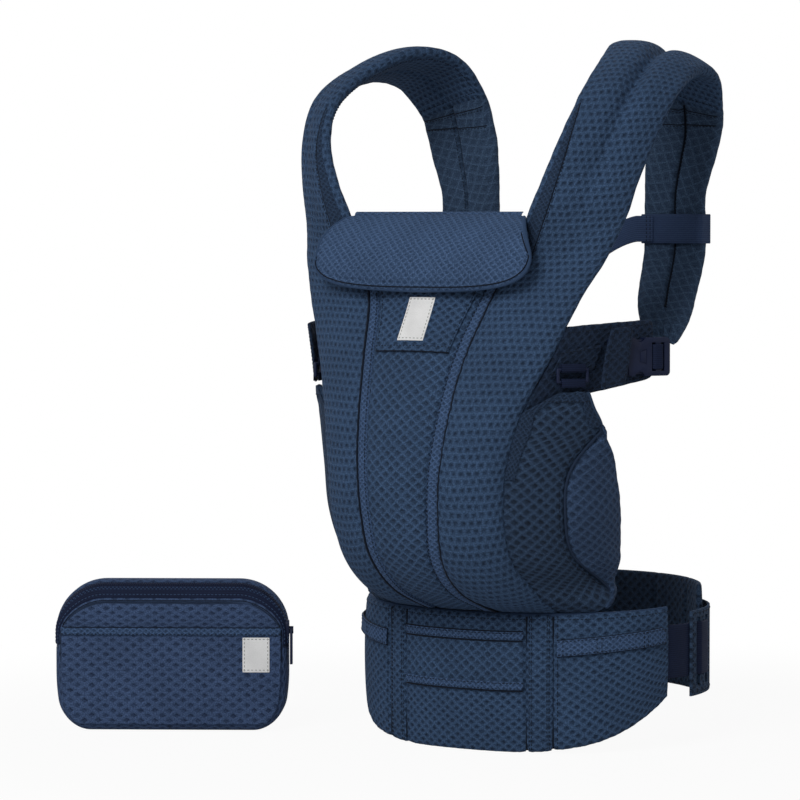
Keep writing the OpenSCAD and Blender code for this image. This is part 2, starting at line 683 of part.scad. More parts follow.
module left_arm_lower() { mirror([1, 0, 0]) right_arm_lower(); }

// Short webbing from the housing's bar to the end of the shoulder strap.
module right_link_web() {
    end = [pad_mid[0], pad_mid[1], belt_h + buckle_h]
          + (buckle_along + slim_length + 1.5) * [cos(pad_turn), sin(pad_turn), 0]
          + buckle_out * [sin(pad_turn), -cos(pad_turn), 0];
    tip = strap_point(strap_l, 0.5) + [2.4, -3.6, -1.2];
    color(web_navy)
        quilt(function (u, v) lerp(end, tip, u) + [0, 0, (v - 0.5) * thin_web * (1 - 0.3 * u)],
              even(web_t), 4, 1);
}
module left_link_web() { mirror([1, 0, 0]) right_link_web(); }

// ---------- chest strap ----------

chest_z = belt_h + chest_h;
chest_w = thin_web + 3;
loop_gap = 1;
loop_in = back_x - loop_gap;
loop_front = back_y - (strap_back_t / 2 + loop_gap);
loop_back = back_y + strap_back_t / 2 + crown + loop_gap;
chest_y = loop_front - 2 * web_t;
chest_half = 22.4;     // half the length of the closed chest buckle
module chest_loops() {
    color(web_navy) for (m = [0, 1]) mirror([m, 0, 0])
        translate([0, 0, chest_z - chest_w / 2]) linear_extrude(height = chest_w) difference() {
            translate([loop_in - web_t, loop_front - web_t])
                square([back_w + 2 * (loop_gap + web_t), loop_back - loop_front + 2 * web_t]);
            translate([loop_in, loop_front])
                square([back_w + 2 * loop_gap, loop_back - loop_front]);
        }
}
// The webbing from the loop to the chest buckle, which hangs down towards the middle.
module chest_ribbon(from) {
    quilt(function (u, v) [lerp(from, loop_in - web_t - gap, u), loop_front - web_t / 2,
                           chest_z - chest_sag * pow(1 - u, 1.6) + (v - 0.5) * thin_web],
          even(web_t), 8, 1);
}
module chest_web_right() { color(web_navy) chest_ribbon(chest_half + 4); }
module chest_web_left() { color(web_navy) mirror([1, 0, 0]) chest_ribbon(chest_half); }
module at_chest_buckle() {
    translate([-4, loop_front - web_t / 2, chest_z - chest_sag]) rotate([90, 0, 0]) children();
}
module chest_housing() { color(plastic_navy) at_chest_buckle() housing(thin_web, 30); }
module chest_prongs() { color(plastic_navy) at_chest_buckle() prongs(thin_web, slim_base); }
module chest_arm_upper() { color(plastic_navy) at_chest_buckle() release_arm(thin_web); }
module chest_arm_lower() {
    color(plastic_navy) at_chest_buckle() mirror([0, 1, 0]) release_arm(thin_web);
}

// ---------- pouch ----------

pouch_wall = 5;            // thickness of the pouch's padded wall
pouch_at = [-310, -119];   // middle of the pouch on the ground
zip_y = -pouch_d / 2 + 9;  // where the zip runs, from the pouch's middle
zip_w = 8;
zip_low = 82;              // height at which the zip's ends are sewn in
module at_pouch() {
    translate([pouch_at[0], pouch_at[1], 0]) rotate([0, 0, pouch_turn]) children();
}
// Outline of the pouch seen from the front, grown by d
module pouch_outline(d) {
    hull() for (x = [-1, 1]) {
        translate([x * (pouch_w / 2 - pouch_r), pouch_r]) circle(r = pouch_r + d, $fn = 64);
        translate([x * (pouch_w / 2 - pouch_top_r), pouch_h - pouch_top_r])
            circle(r = pouch_top_r + d, $fn = 96);
    }
}
module pouch_slab(y0, y1, d) {
    translate([0, y1, 0]) rotate([90, 0, 0]) linear_extrude(height = y1 - y0) pouch_outline(d);
}
module pouch_shell() {
    color(mesh_navy) at_pouch() difference() {
        union() {
            pouch_slab(-pouch_d / 2 + 3, pouch_d / 2 - 3, 0);
            pouch_slab(-pouch_d / 2, pouch_d / 2, -3);
        }
        // room inside
        pouch_slab(-pouch_d / 2 + pouch_wall, pouch_d / 2 - pouch_wall, -pouch_wall - 2);
        // the zip's slit, all along its run
        difference() {
            pouch_slab(zip_y - zip_w / 2 - gap, zip_y + zip_w / 2 + gap, 1);
            pouch_slab(zip_y - zip_w, zip_y + zip_w, -4);
            translate([-pouch_w, -pouch_d, -1]) cube([2 * pouch_w, 2 * pouch_d, zip_low]);
        }
    }
}
module pouch_pocket() {
    color(mesh_navy) at_pouch() translate([0, -pouch_d / 2 - gap, 0]) rotate([90, 0, 0])
        linear_extrude(height = 2) intersection() {
            pouch_outline(-7);
            translate([-pouch_w, 0]) square([2 * pouch_w, pouch_pocket_h]);
        }
}
module pouch_label() {
    color(label_white) at_pouch()
        translate([pouch_w / 2 - 43, -pouch_d / 2 - gap - 2 - 1.2, 56]) cube([26, 0.8, 35]);
}
tooth_pitch = 6;
module zipper() {
    color(web_navy) at_pouch() difference() {
        pouch_slab(zip_y - zip_w / 2, zip_y + zip_w / 2, -2.4);
        pouch_slab(zip_y - zip_w, zip_y + zip_w, -3.6);
        translate([-pouch_w, -pouch_d, -1]) cube([2 * pouch_w, 2 * pouch_d, zip_low + 1 + gap]);
    }
    color(plastic_navy) at_pouch()
        for (x = [-pouch_w / 2 + pouch_top_r + 2 : tooth_pitch : pouch_w / 2 - pouch_top_r - 2])
            translate([x - 1.5, zip_y - 2, pouch_h - 2.4]) cube([3, 4, 1.6]);
}
slider_z = 97;
slider_x = pouch_w / 2 - 2.4 + gap;
module zip_slider() {
    color(plastic_navy) at_pouch() translate([slider_x, zip_y, slider_z]) difference() {
        union() {
            rotate([90, 0, 90]) linear_extrude(height = 3.2) {
                translate([-4, -6]) square([8, 12]);
                translate([0, 6]) circle(r = 4, $fn = 32);
            }
            translate([3.2, -1.2, -3]) cube([4, 2.4, 7]);
        }
        translate([5.2, 0, 1.4]) rotate([90, 0, 0]) cylinder(r = 1.25, h = 10, center = true, $fn = 32);
    }
}
pull_pivot = [slider_x + 5.2, zip_y, slider_z + 1.4];
module zip_pull() {
    color(plastic_navy) at_pouch() translate(pull_pivot) {
        rotate([90, 0, 0]) cylinder(r = 1.2, h = 6, center = true, $fn = 32);
        for (s = [-1, 1]) translate([-1.2, s * 2.6 - 0.8, -10]) cube([2.4, 1.6, 10]);
        translate([-1.2, -3.4, -34]) cube([2.4, 6.8, 24]);
    }
}

belt_centre();
belt_strips();
right_wing();
left_wing();
belt_lining();
front_bands();
loop_straps();
lumbar_pad();
lumbar_sleeve();
waist_web_long();
waist_web_free();
waist_web_short();
waist_housing();
waist_prongs();
waist_arm_upper();
waist_arm_lower();
centre_panel();
bindings();
pocket_flap();
right_strap_front();
left_strap_front();
right_strap_back();
left_strap_back();
right_seat_panel();
left_seat_panel();
right_thigh_pad();
left_thigh_pad();
headrest();
headrest_hinge();
body_label();
right_arm_pad();
left_arm_pad();
right_arm_cover();
left_arm_cover();
seat_rings();
ring_webs();
arm_webs();
right_housing();
left_housing();
right_prongs();
left_prongs();
right_arm_upper();
right_arm_lower();
left_arm_upper();
left_arm_lower();
right_link_web();
left_link_web();
chest_loops();
chest_web_right();
chest_web_left();
chest_housing();
chest_prongs();
chest_arm_upper();
chest_arm_lower();
pouch_shell();
pouch_pocket();
zipper();
zip_slider();
zip_pull();
pouch_label();
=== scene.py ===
"""Soft baby carrier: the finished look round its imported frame, laid out as an add-on.

Sizes named in capitals are in millimetres and repeat the frame's own shape.
"""
import json
import math

import bmesh
import bpy
import numpy as np
from mathutils import Matrix, Vector

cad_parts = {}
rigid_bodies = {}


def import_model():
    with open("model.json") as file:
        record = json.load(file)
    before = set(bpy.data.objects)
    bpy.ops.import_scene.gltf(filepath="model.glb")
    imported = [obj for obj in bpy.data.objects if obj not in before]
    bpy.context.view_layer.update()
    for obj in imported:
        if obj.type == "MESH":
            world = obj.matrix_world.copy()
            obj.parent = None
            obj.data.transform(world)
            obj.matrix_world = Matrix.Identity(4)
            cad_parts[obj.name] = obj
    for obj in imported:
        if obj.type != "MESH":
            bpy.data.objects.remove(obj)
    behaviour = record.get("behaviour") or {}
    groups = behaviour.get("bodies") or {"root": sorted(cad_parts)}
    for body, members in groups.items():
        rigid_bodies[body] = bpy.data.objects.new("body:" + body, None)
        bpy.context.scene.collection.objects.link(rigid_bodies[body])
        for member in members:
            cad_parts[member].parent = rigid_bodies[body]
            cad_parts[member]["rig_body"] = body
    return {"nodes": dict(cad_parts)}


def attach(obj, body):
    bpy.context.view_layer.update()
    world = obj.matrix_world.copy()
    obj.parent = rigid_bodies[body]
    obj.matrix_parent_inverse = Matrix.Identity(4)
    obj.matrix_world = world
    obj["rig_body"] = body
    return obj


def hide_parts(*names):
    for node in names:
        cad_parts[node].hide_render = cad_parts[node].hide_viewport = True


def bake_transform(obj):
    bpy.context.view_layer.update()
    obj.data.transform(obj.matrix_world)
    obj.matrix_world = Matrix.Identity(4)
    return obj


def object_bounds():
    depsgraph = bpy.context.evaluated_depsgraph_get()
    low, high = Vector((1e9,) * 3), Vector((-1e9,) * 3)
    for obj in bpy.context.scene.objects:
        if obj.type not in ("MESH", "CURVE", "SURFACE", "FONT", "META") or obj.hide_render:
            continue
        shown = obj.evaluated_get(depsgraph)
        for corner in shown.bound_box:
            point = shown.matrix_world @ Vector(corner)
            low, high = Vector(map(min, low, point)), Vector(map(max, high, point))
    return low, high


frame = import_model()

CAD_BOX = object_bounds()

bl_info = {
    "name": "Soft Baby Carrier",
    "version": (1, 0, 0),
    "blender": (4, 5, 0),
    "location": "View3D > Sidebar > Carrier",
    "description": "Dresses the packed frame of a soft baby carrier in padding, webbing and stitching",
    "category": "Object",
}

MM = 0.001
FLIP = np.array([-1, 1, 1])

# ------------------------------------------------------------ the frame's shape, in mm

WAIST_R, WAIST_FRONT, WAIST_Y, FRONT_R = 172, 121, 35, 145
BELT_H, BELT_T, LINING_T = 127, 13, 3
WING_END, WING_H = 81, 82
SEAM_X, STRIP_W, STRIP_T = 69, 24, 11
BAND_LOW, BAND_HIGH, BAND_W = 57, 103, 8
LOOP_W, LOOP_L = 15, 85
LUMBAR_H, LUMBAR_T, SLEEVE_T, SLOT_W = 104, 11, 2.4, 10
SLEEVE_H = LUMBAR_H - 24
PANEL_T, BINDING_W, BODY_H = 12, 12, 363
SEAT_T, THIGH_T = 8, 14
STRAP_T, STRAP_BACK_T, BACK_W, EDGE_T = 18, 14, 62, 5
REST_W, REST_WIDE, REST_T, HINGE_R = 184, 260, 17, 4
ARM_PAD_H, ARM_PAD_T, ARM_COVER_T = 72, 7, 4
WAIST_WEB, THIN_WEB, WEB_T = 50, 25, 1.6
CHEST_H, CHEST_SAG, CHEST_HALF = 356, 27, 22.4
POUCH_W, POUCH_H, POUCH_D, POUCH_R, POUCH_TOP_R = 224, 145, 46, 30, 48
POUCH_POCKET_H, POUCH_TURN, POUCH_AT = 100, 33, (-310, -119)
GAP, CLOTH_T, ALLOWANCE_W = 0.5, 1.2, 9

SEAM_ANGLE = math.degrees(math.asin(SEAM_X / WAIST_R))
STRIP_ANGLE = math.degrees(math.asin((SEAM_X + STRIP_W) / WAIST_R))
GAP_ANGLE = GAP / WAIST_R * 90 / math.pi
WING_RISE = BELT_H - WING_H + 5
BELT_MID = -BELT_T / 2
WEB_Z = BELT_H + 5 - WING_H / 2

# curves keyed by the height over the belt, except the belt's own, which is keyed by its angle
FOOT = 3.5
BELT_LOW = [(0, 0), (0.3 * WING_END, 0.01 * WING_RISE), (0.55 * WING_END, 0.16 * WING_RISE),
            (0.75 * WING_END, 0.45 * WING_RISE), (WING_END, WING_RISE)]
BUCKET_FRONT = [(FOOT, -77), (26, -139), (56, -173), (95, -184), (140, -186), (193, -176),
                (240, -160), (294, -133), (BODY_H, -116)]
BUCKET_WIDE = [(FOOT, WAIST_R - 9), (26, 122), (56, 127), (95, 137), (140, 143), (193, 162),
               (240, 190), (294, 265), (BODY_H, 300)]
BUCKET_DEEP = [(FOOT, WAIST_FRONT - 9), (26, 118), (56, 129), (95, 130), (140, 132), (193, 134),
               (240, 138), (294, 140), (BODY_H, 140)]
PANEL_HALF = [(FOOT, 26), (26, 25), (56, 27), (95, 30), (140, 33), (193, 38), (240, 44),
              (294, 57), (BODY_H, 86)]
STRAP_OUT = [(FOOT, 93), (26, 91), (56, 89), (95, 91), (140, 95), (193, 107), (240, 126),
             (294, 148)]
LEG_EDGE = [(FOOT, 55), (26, 95), (57, 110), (96, 108), (142, 98), (178, 78.5), (192, 69),
            (209, 61.5)]
LEG_EASE = [(FOOT, -6.0), (16, -4.0), (28, 0.5), (42, 3.2), (59, 0.4), (83, -2.2), (107, -3.0),
            (131, -4.2), (155, -4.2), (170, -3.6), (180, -1.4), (190, 0.6), (209, 1.3)]
THIGH_SEAM = [(FOOT, 53), (26, 88), (57, 74), (96, 68), (142, 69), (178, 79)]
THIGH_TOP, SEAT_SHOULDER, SEAT_TOP = 178, 190, 209
BINDING_TOP, PANEL_TOP = 338, BODY_H - 1.5
FLAP_LOW, FLAP_TOP, FLAP_INSET = 306 - 64, 306, 5
LABEL_W, LABEL_L = 28, 40
BACK_X, BACK_Y, CROWN = 86, 108, 3
HINGE_Y, HINGE_Z = -116, BELT_H + BODY_H + HINGE_R
LIP_DROP, LIP_OUT = 66, 31
PAD_LOW, PAD_MID, PAD_END = 196, 196 + ARM_PAD_H / 2, np.array((172.0, -24.0))
COVER_START, COVER_SHARE = 0.44, 0.655


# ------------------------------------------------------------ curves

def lerp(a, b, t):
    return a + (b - a) * t


def unit(v):
    return v / np.linalg.norm(v, axis=-1, keepdims=True)


def spot(x, y, z):
    """Stack three fields of numbers into points."""
    return np.stack(np.broadcast_arrays(x, y, z), axis=-1).astype(float)


def run_of(points):
    """The distance along a line, from its start to each of its points."""
    return np.concatenate([[0], np.cumsum(np.linalg.norm(np.diff(points, axis=0), axis=1))])


def curve_at(rows, s):
    """A smooth curve through rows of (key, value), where a value is a number or several."""
    keys = np.array([row[0] for row in rows], float)
    values = np.array([np.atleast_1d(row[1]) for row in rows], float)
    s = np.asarray(s, float)
    i = np.clip(np.searchsorted(keys, s, side="right") - 1, 0, len(keys) - 2)
    before = np.maximum(np.arange(len(keys)) - 1, 0)
    after = np.minimum(np.arange(len(keys)) + 1, len(keys) - 1)
    slope = (values[after] - values[before]) / (keys[after] - keys[before])[:, None]
    h = keys[i + 1] - keys[i]
    t = ((s - keys[i]) / h)[..., None]
    h = h[..., None]
    out = ((2 * t**3 - 3 * t**2 + 1) * values[i] + (t**3 - 2 * t**2 + t) * h * slope[i]
           + (3 * t**2 - 2 * t**3) * values[i + 1] + (t**3 - t**2) * h * slope[i + 1])
    return out[..., 0] if values.shape[1] == 1 else out


def smooth(a, b, x):
    """0 before a, 1 after b, and a smooth step between them."""
    t = np.clip((x - a) / (b - a), 0, 1)
    return t * t * (3 - 2 * t)


def bell(x, middle, width):
    return np.exp(-((x - middle) / width) ** 2)


def near_edge(u, reach):
    """1 on both long edges, falling to 0 inside them."""
    return 1 - smooth(0, reach, np.minimum(u, 1 - u))


def ripple(a, b, seed):
    """Gentle uneven waves, from -1 to 1, for puckers along a seam."""
    return (np.sin(a + seed * 1.7) * np.sin(b * 0.63 + seed)
            + 0.6 * np.sin(a * 2.3 + b * 1.1 + seed * 3.1)
            + 0.4 * np.sin(a * 3.9 - b * 2.1 + seed * 0.7)) / 2


# ------------------------------------------------------------ pads

def swell(full, edge, power):
    """Thickness of a pad that is thin at its sewn edges and full between them."""
    def thickness(u, v):
        rise = np.clip(np.sin(np.pi * u) * np.sin(np.pi * v), 0, 1) ** power
        return edge + (full - edge) * rise
    return thickness


def even(full):
    return lambda u, v: full + 0 * u


def puckers(amount, waves_u, waves_v, seed, reach=0.16):
    """Small gathers beside a pad's sewn edges."""
    def relief(u, v, side):
        edge = np.minimum(np.minimum(u, 1 - u), np.minimum(v, 1 - v))
        return amount * ripple(u * waves_u, v * waves_v, seed + side) * (1 - smooth(0, reach, edge))
    return relief


def walls(rings):
    """Faces between closed rings of as many points each."""
    return [(a[i], b[i], b[(i + 1) % len(a)], a[(i + 1) % len(a)])
            for a, b in zip(rings, rings[1:]) for i in range(len(a))]


class Pad:
    """A surface f(u, v) in mm with a thickness, and a relief that is added on each side."""

    def __init__(self, surface, thickness, relief=None):
        self.surface, self.thickness = surface, thickness
        self.relief = relief or (lambda u, v, side: 0.0)

    def normals(self, u, v, e=0.004):
        across = self.surface(np.minimum(u + e, 1), v) - self.surface(np.maximum(u - e, 0), v)
        along = self.surface(u, np.minimum(v + e, 1)) - self.surface(u, np.maximum(v - e, 0))
        return unit(np.cross(across, along))

    def skin(self, u, v, side, lift):
        """Points on one side's skin and the way that the side faces."""
        u, v = np.broadcast_arrays(np.asarray(u, float), np.asarray(v, float))
        n = self.normals(u, v) * side
        rise = self.thickness(u, v) / 2 + lift + self.relief(u, v, side)
        return self.surface(u, v) + n * rise[..., None], n

    def area(self, count=40):
        """The area of the surface in square metres."""
        u, v = np.meshgrid(np.linspace(0, 1, count), np.linspace(0, 1, count))
        p = self.surface(u, v) * MM
        a, b = p[1:, 1:] - p[:-1, :-1], p[1:, :-1] - p[:-1, 1:]
        return float(np.linalg.norm(np.cross(a, b), axis=-1).sum() / 2)

    def mesh(self, name, steps, rim=3):
        """A closed mesh whose edges are rounded, with a cloth attribute in mm along the weave."""
        nu, nv = steps
        u, v = np.meshgrid(np.linspace(0, 1, nu + 1), np.linspace(0, 1, nv + 1))
        flat = self.surface(u, v)
        across = np.linalg.norm(np.diff(flat, axis=1), axis=2).sum(1)[:, None]
        along = np.linalg.norm(np.diff(flat, axis=0), axis=2).sum(0)[None, :]
        # the grid stops short of each edge by half the thickness there, which the round rim fills
        edge = [np.clip(self.thickness(np.full_like(u, k), v) / 2 / across, 0, 0.3) for k in (0.0, 1.0)]
        end = [np.clip(self.thickness(u, np.full_like(v, k)) / 2 / along, 0, 0.3) for k in (0.0, 1.0)]
        u, v = edge[0] + u * (1 - edge[0] - edge[1]), end[0] + v * (1 - end[0] - end[1])
        mid, n, half = self.surface(u, v), self.normals(u, v), self.thickness(u, v) / 2
        top = mid + n * (half + self.relief(u, v, 1))[..., None]
        low = mid - n * (half + self.relief(u, v, -1))[..., None]
        cloth = spot((u - 0.5) * across, run_of(mid[:, nu // 2])[:, None] + 0 * u, 0)
        loop = ([(0, i) for i in range(nu)] + [(j, nu) for j in range(nv)]
                + [(nv, i) for i in range(nu, 0, -1)] + [(j, 0) for j in range(nv, 0, -1)])
        rows, cols = np.array(loop).T
        inner = mid[np.clip(rows, 1, nv - 1), np.clip(cols, 1, nu - 1)]
        rim_mid, rim_n = (top[rows, cols] + low[rows, cols]) / 2, n[rows, cols]
        out = rim_mid - inner
        out = unit(out - (out * rim_n).sum(1)[:, None] * rim_n)
        h = (np.linalg.norm(top[rows, cols] - low[rows, cols], axis=1) / 2)[:, None]
        onward = np.array([(0, -1, 0)] * nu + [(1, 0, 0)] * nv + [(0, 1, 0)] * nu + [(-1, 0, 0)] * nv)
        points, marks = [top.reshape(-1, 3), low.reshape(-1, 3)], [cloth.reshape(-1, 3)] * 2
        for k in range(1, rim + 1):
            a = math.pi / 2 - k * math.pi / (rim + 1)
            points.append(rim_mid + rim_n * h * math.sin(a) + out * h * math.cos(a))
            marks.append(cloth[rows, cols] + onward * h * (math.pi / 2 - abs(a)))
        count, row = (nu + 1) * (nv + 1), nu + 1
        faces = []
        for a in (j * row + i for j in range(nv) for i in range(nu)):
            faces.append((a, a + 1, a + row + 1, a + row))
            faces.append((count + a, count + a + row, count + a + row + 1, count + a + 1))
        top_loop = [a * row + b for a, b in loop]
        rings = [[2 * count + k * len(loop) + i for i in range(len(loop))] for k in range(rim)]
        faces += walls([top_loop, *rings, [count + i for i in top_loop]])
        return new_mesh(name, np.concatenate(points), faces, np.concatenate(marks))


# ------------------------------------------------------------ meshes and pieces

MATERIALS = {}


def mark(mesh, key, values):
    """Store a vector at each of a mesh's points."""
    layer = mesh.attributes.get(key) or mesh.attributes.new(key, "FLOAT_VECTOR", "POINT")
    layer.data.foreach_set("vector", np.asarray(values, np.float32).ravel())


def new_mesh(name, points, faces, cloth):
    """A smooth mesh in metres from points in mm, marked with its place on the weave."""
    mesh = bpy.data.meshes.new(name)
    mesh.from_pydata((np.asarray(points) * MM).tolist(), [], [tuple(f) for f in faces])
    mesh.validate()
    mark(mesh, "cloth", cloth)
    mesh.shade_smooth()
    mesh.update()
    return mesh


def outward(mesh):
    """Turn a closed mesh's faces outwards."""
    made = bmesh.new()
    made.from_mesh(mesh)
    bmesh.ops.recalc_face_normals(made, faces=made.faces)
    made.to_mesh(mesh)
    made.free()
    mesh.shade_smooth()
    return mesh


def mirrored(mesh, name):
    copy = mesh.copy()
    copy.name = name
    copy.transform(Matrix.Scale(-1, 4, (1, 0, 0)))
    copy.flip_normals()
    return copy


def joined(name, meshes):
    """One mesh out of several."""
    made = bmesh.new()
    for mesh in meshes:
        made.from_mesh(mesh)
    out = bpy.data.meshes.new(name)
    made.to_mesh(out)
    made.free()
    out.shade_smooth()
    return out


def linked(name, data):
    made = bpy.data.objects.new(name, data)
    bpy.context.scene.collection.objects.link(made)
    return made


def baked(holder):
    """An object's mesh with its modifiers applied, which the object gives way to."""
    bpy.context.view_layer.update()
    ready = holder.evaluated_get(bpy.context.evaluated_depsgraph_get())
    result = bpy.data.meshes.new_from_object(ready)
    bpy.data.objects.remove(holder)
    return result


def place(name, mesh, material, node=None, body="carrier"):
    """Put a finished mesh in the scene, riding on its body and standing for its CAD node.

    A body given as (fixed, moving, start, end) is not attached to either body: the piece keeps its place with
    its transform baked in.
    """
    made = linked(name, mesh)
    mesh.materials.clear()
    mesh.materials.append(MATERIALS[material])
    if node:
        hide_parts(node)
    if isinstance(body, str):
        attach(made, body)
    else:
        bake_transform(made)
    return made


def left(name):
    return name and name.replace("right", "left")


def sided(name, mesh, material, node=None, body="carrier"):
    """A finished piece, and its mirror image where it is a right-hand one."""
    made = [place(name, mesh, material, node, body)]
    if name.startswith("right_"):
        if isinstance(body, str):
            other = left(body)
        else:
            other = (body[0], left(body[1]), body[2] * FLIP, body[3] * FLIP)
        made.append(place(left(name), mirrored(mesh, left(name)), material, left(node), other))
    return made


def pair(name, meshes, material, node=None, body="carrier", middle=()):
    """One piece out of meshes, their mirror images and what lies in the middle."""
    meshes = meshes + [mirrored(mesh, mesh.name + "_m") for mesh in meshes] + list(middle)
    return place(name, joined(name, meshes), material, node, body)


def soft(name, pad, steps, material, node, fill, slot="waffle_mesh", body="carrier"):
    """Make a padded piece, and its mirror image where it is a right-hand one."""
    made = sided(name, pad.mesh(name, steps), material, node, body)
    return made


def webbing(name, surface, steps, node=None, body="carrier"):
    """Make a length of webbing, and its mirror image where it is a right-hand one."""
    mesh = Pad(surface, even(WEB_T)).mesh(name, steps, 2)
    return sided(name, mesh, "webbing", node, body)


def moulded(node, material="plastic", width=0.45, name=None):
    """A moulded part: the frame's own shape with its edges rounded."""
    made = bmesh.new()
    made.from_mesh(frame["nodes"][node].data)
    bmesh.ops.remove_doubles(made, verts=made.verts, dist=1e-6)
    bmesh.ops.dissolve_limit(made, angle_limit=math.radians(1), verts=made.verts, edges=made.edges)
    mesh = bpy.data.meshes.new(node + "_moulded")
    made.to_mesh(mesh)
    made.free()
    holder = linked(node + "_holder", mesh)
    bevel = holder.modifiers.new("edges", "BEVEL")
    bevel.width, bevel.segments, bevel.limit_method = width * MM, 2, "ANGLE"
    bevel.angle_limit, bevel.use_clamp_overlap = math.radians(35), True
    result = baked(holder)
    result.shade_smooth()
    result.set_sharp_from_angle(angle=math.radians(50))
    return place(name or node + "_moulded", result, material, node, frame["nodes"][node]["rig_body"])


def buckle(side):
    """The four moulded parts of one side-release buckle."""
    for part in ("housing", "prongs", "arm_upper", "arm_lower"):
        moulded(f"{side}_{part}")


def cloth_of(mesh, mapping):
    """Mark a mesh with its place on the weave: mapping takes points in mm."""
    co = np.zeros(len(mesh.vertices) * 3, np.float32)
    mesh.vertices.foreach_get("co", co)
    mark(mesh, "cloth", mapping(co.reshape(-1, 3) / MM))


def both(lines):
    """The same lines on both sides of the carrier."""
    return list(lines) + [(np.asarray(p) * FLIP, np.asarray(u) * FLIP) for p, u in lines]


def seam_line(pad, u, v, side=1, lift=0.15, count=120):
    """A line on a pad's skin, where u and v are each a number, a pair of ends or a rule."""
    t = np.linspace(0, 1, count)
    u, v = (lerp(*k, t) if isinstance(k, tuple) else k(t) if callable(k) else np.full_like(t, k)
            for k in (u, v))
    return pad.skin(u, v, side, lift)


def hem_lines(pad, inset_u, inset_v, count):
    """Seams along the four edges of a card."""
    across, up = (inset_u, 1 - inset_u), (inset_v, 1 - inset_v)
    return ([seam_line(pad, across, v, lift=0.05, count=count) for v in up]
            + [seam_line(pad, u, up, lift=0.05, count=count) for u in across])


# ------------------------------------------------------------ the carrier's surfaces

def waist(t, r, z):
    """A point on the waist line at t degrees from the front, offset outwards by r."""
    a = np.radians(t)
    deep = np.where(np.cos(a) > 0, WAIST_FRONT, WAIST_R)
    return spot((WAIST_R + r) * np.sin(a), WAIST_Y - (deep + r) * np.cos(a), z)


def belt_z(t, v):
    return lerp(curve_at(BELT_LOW, np.abs(t)), BELT_H + 5 * (np.abs(t) / WING_END) ** 2, v)


def belt_face(t0, t1, r):
    def surface(u, v):
        t = lerp(t0, t1, u)
        return waist(t, r, belt_z(t, v))
    return surface


def bucket(angle, h):
    """A point on the seat's bowl, at an angle from the front and a height over the belt."""
    a = np.radians(angle)
    return spot(curve_at(BUCKET_WIDE, h) * np.sin(a),
                curve_at(BUCKET_FRONT, h) + curve_at(BUCKET_DEEP, h) * (1 - np.cos(a)), BELT_H + h)


def bucket_angle(x, h):
    return np.degrees(np.arcsin(np.clip(x / curve_at(BUCKET_WIDE, h), -1, 1)))


def on_bucket(x, h):
    return bucket(bucket_angle(x, h), h)


def panel_half(h):
    return curve_at(PANEL_HALF, h)


def strap_in(h):
    return panel_half(h) + BINDING_W + GAP


def strap_out(h):
    return curve_at(STRAP_OUT, h)


def leg_edge(h):
    """The edge of the leg opening, eased so that its outline runs on from the pad into the panel above."""
    return curve_at(LEG_EDGE, h) + curve_at(LEG_EASE, h)


def thigh_seam(h, off):
    """The thigh pad's inner seam, which meets the edge of the opening at the pad's pointed top."""
    return np.minimum(curve_at(THIGH_SEAM, h) + off, leg_edge(h) - 0.8)


def strap_table():
    """The strap's inner and outer edge, keyed by the distance along its middle."""
    rows = []
    for h, _ in STRAP_OUT:
        a, b = on_bucket(strap_in(h) + GAP, h), on_bucket(strap_out(h), h)
        rows.append((a[0], a[1], h, b[0], b[1], h))
    rows += [(86, -124, 326, 162, -95, 324), (102, -125, 362, 174, -78, 362),
             (119, -123, 399, 184, -69, 400), (132, -114, 437, 193, -54, 438),
             (137, -90, 475, 198, -30, 473), (128, -44, 506, 194, 6, 494),
             (110, 9, 525, 186, 42, 502), (98, 59, 518, 180, 79, 495), (91, 94, 484, 170, 104, 466),
             (89, BACK_Y, 446, 166, BACK_Y, 446), (87, BACK_Y, 424, 160, BACK_Y, 424),
             (86, BACK_Y, 404, 153, BACK_Y, 404)]
    rows += [(BACK_X, BACK_Y, h, BACK_X + BACK_W, BACK_Y, h) for h in (386, 362, 338)]
    rows += [(86, 104, 319, 147, 104, 319), (91, 90, 299, 149, 91, 299), (103, 70, 276, 153, 73, 276),
             (124, 50, 251, 151, 54, 251)]
    rows = np.array(rows, float)
    return list(zip(run_of((rows[:, :3] + rows[:, 3:]) / 2), rows))


STRAP_ROWS = strap_table()
STRAP_L = STRAP_ROWS[-1][0]
# the front piece of the strap ends here, and the back piece begins
CROSS_SEAM = STRAP_ROWS[16][0]


def strap_point(s, u):
    """A point on the strap at a distance s along it and a share u across it."""
    p, q, o = (curve_at(STRAP_ROWS, k) for k in (s, np.minimum(s + 1, STRAP_L), np.maximum(s - 1, 0)))
    a, b = p[..., :3], p[..., 3:]
    run = (q[..., :3] + q[..., 3:]) / 2 - (o[..., :3] + o[..., 3:]) / 2
    n = unit(np.cross(b - a, run))
    u = np.asarray(u, float)
    rise = CROWN * np.minimum(1, s / 60) * np.sin(np.pi * u)
    return lerp(a, b, u[..., None]) + rise[..., None] * n + np.array([0, 0, BELT_H])


def strap_piece(s0, s1):
    return lambda u, v: strap_point(lerp(s0, s1, v), u)


def rest_point(u, v):
    """A point on the headrest, from its root at v = 0 to its lip at v = 1."""
    s = 2 * u - 1
    bow, ends = np.sin(np.pi / 2 * s), np.abs(s) ** 3
    top = spot(s * (REST_W / 2 + 4), -HINGE_R - GAP - 1.6, 0)
    lift = 31 - 7 * smooth(0, 1, -s)
    low = spot(bow * (REST_WIDE / 2 - 12), -LIP_OUT + 2 * ends, -LIP_DROP + lift * ends)
    belly = 8 * np.sin(np.pi * v)
    return (np.array([0, HINGE_Y, HINGE_Z]) + lerp(top, low, v[..., None])
            + spot(bow * 3 * np.sin(np.pi * v), -belly, 0.4 * belly))


def pad_root(h):
    """Where the underarm pad springs from the strap, seen from above."""
    return on_bucket(strap_out(h), h)[..., :2] + np.array([1.2, 2.0])


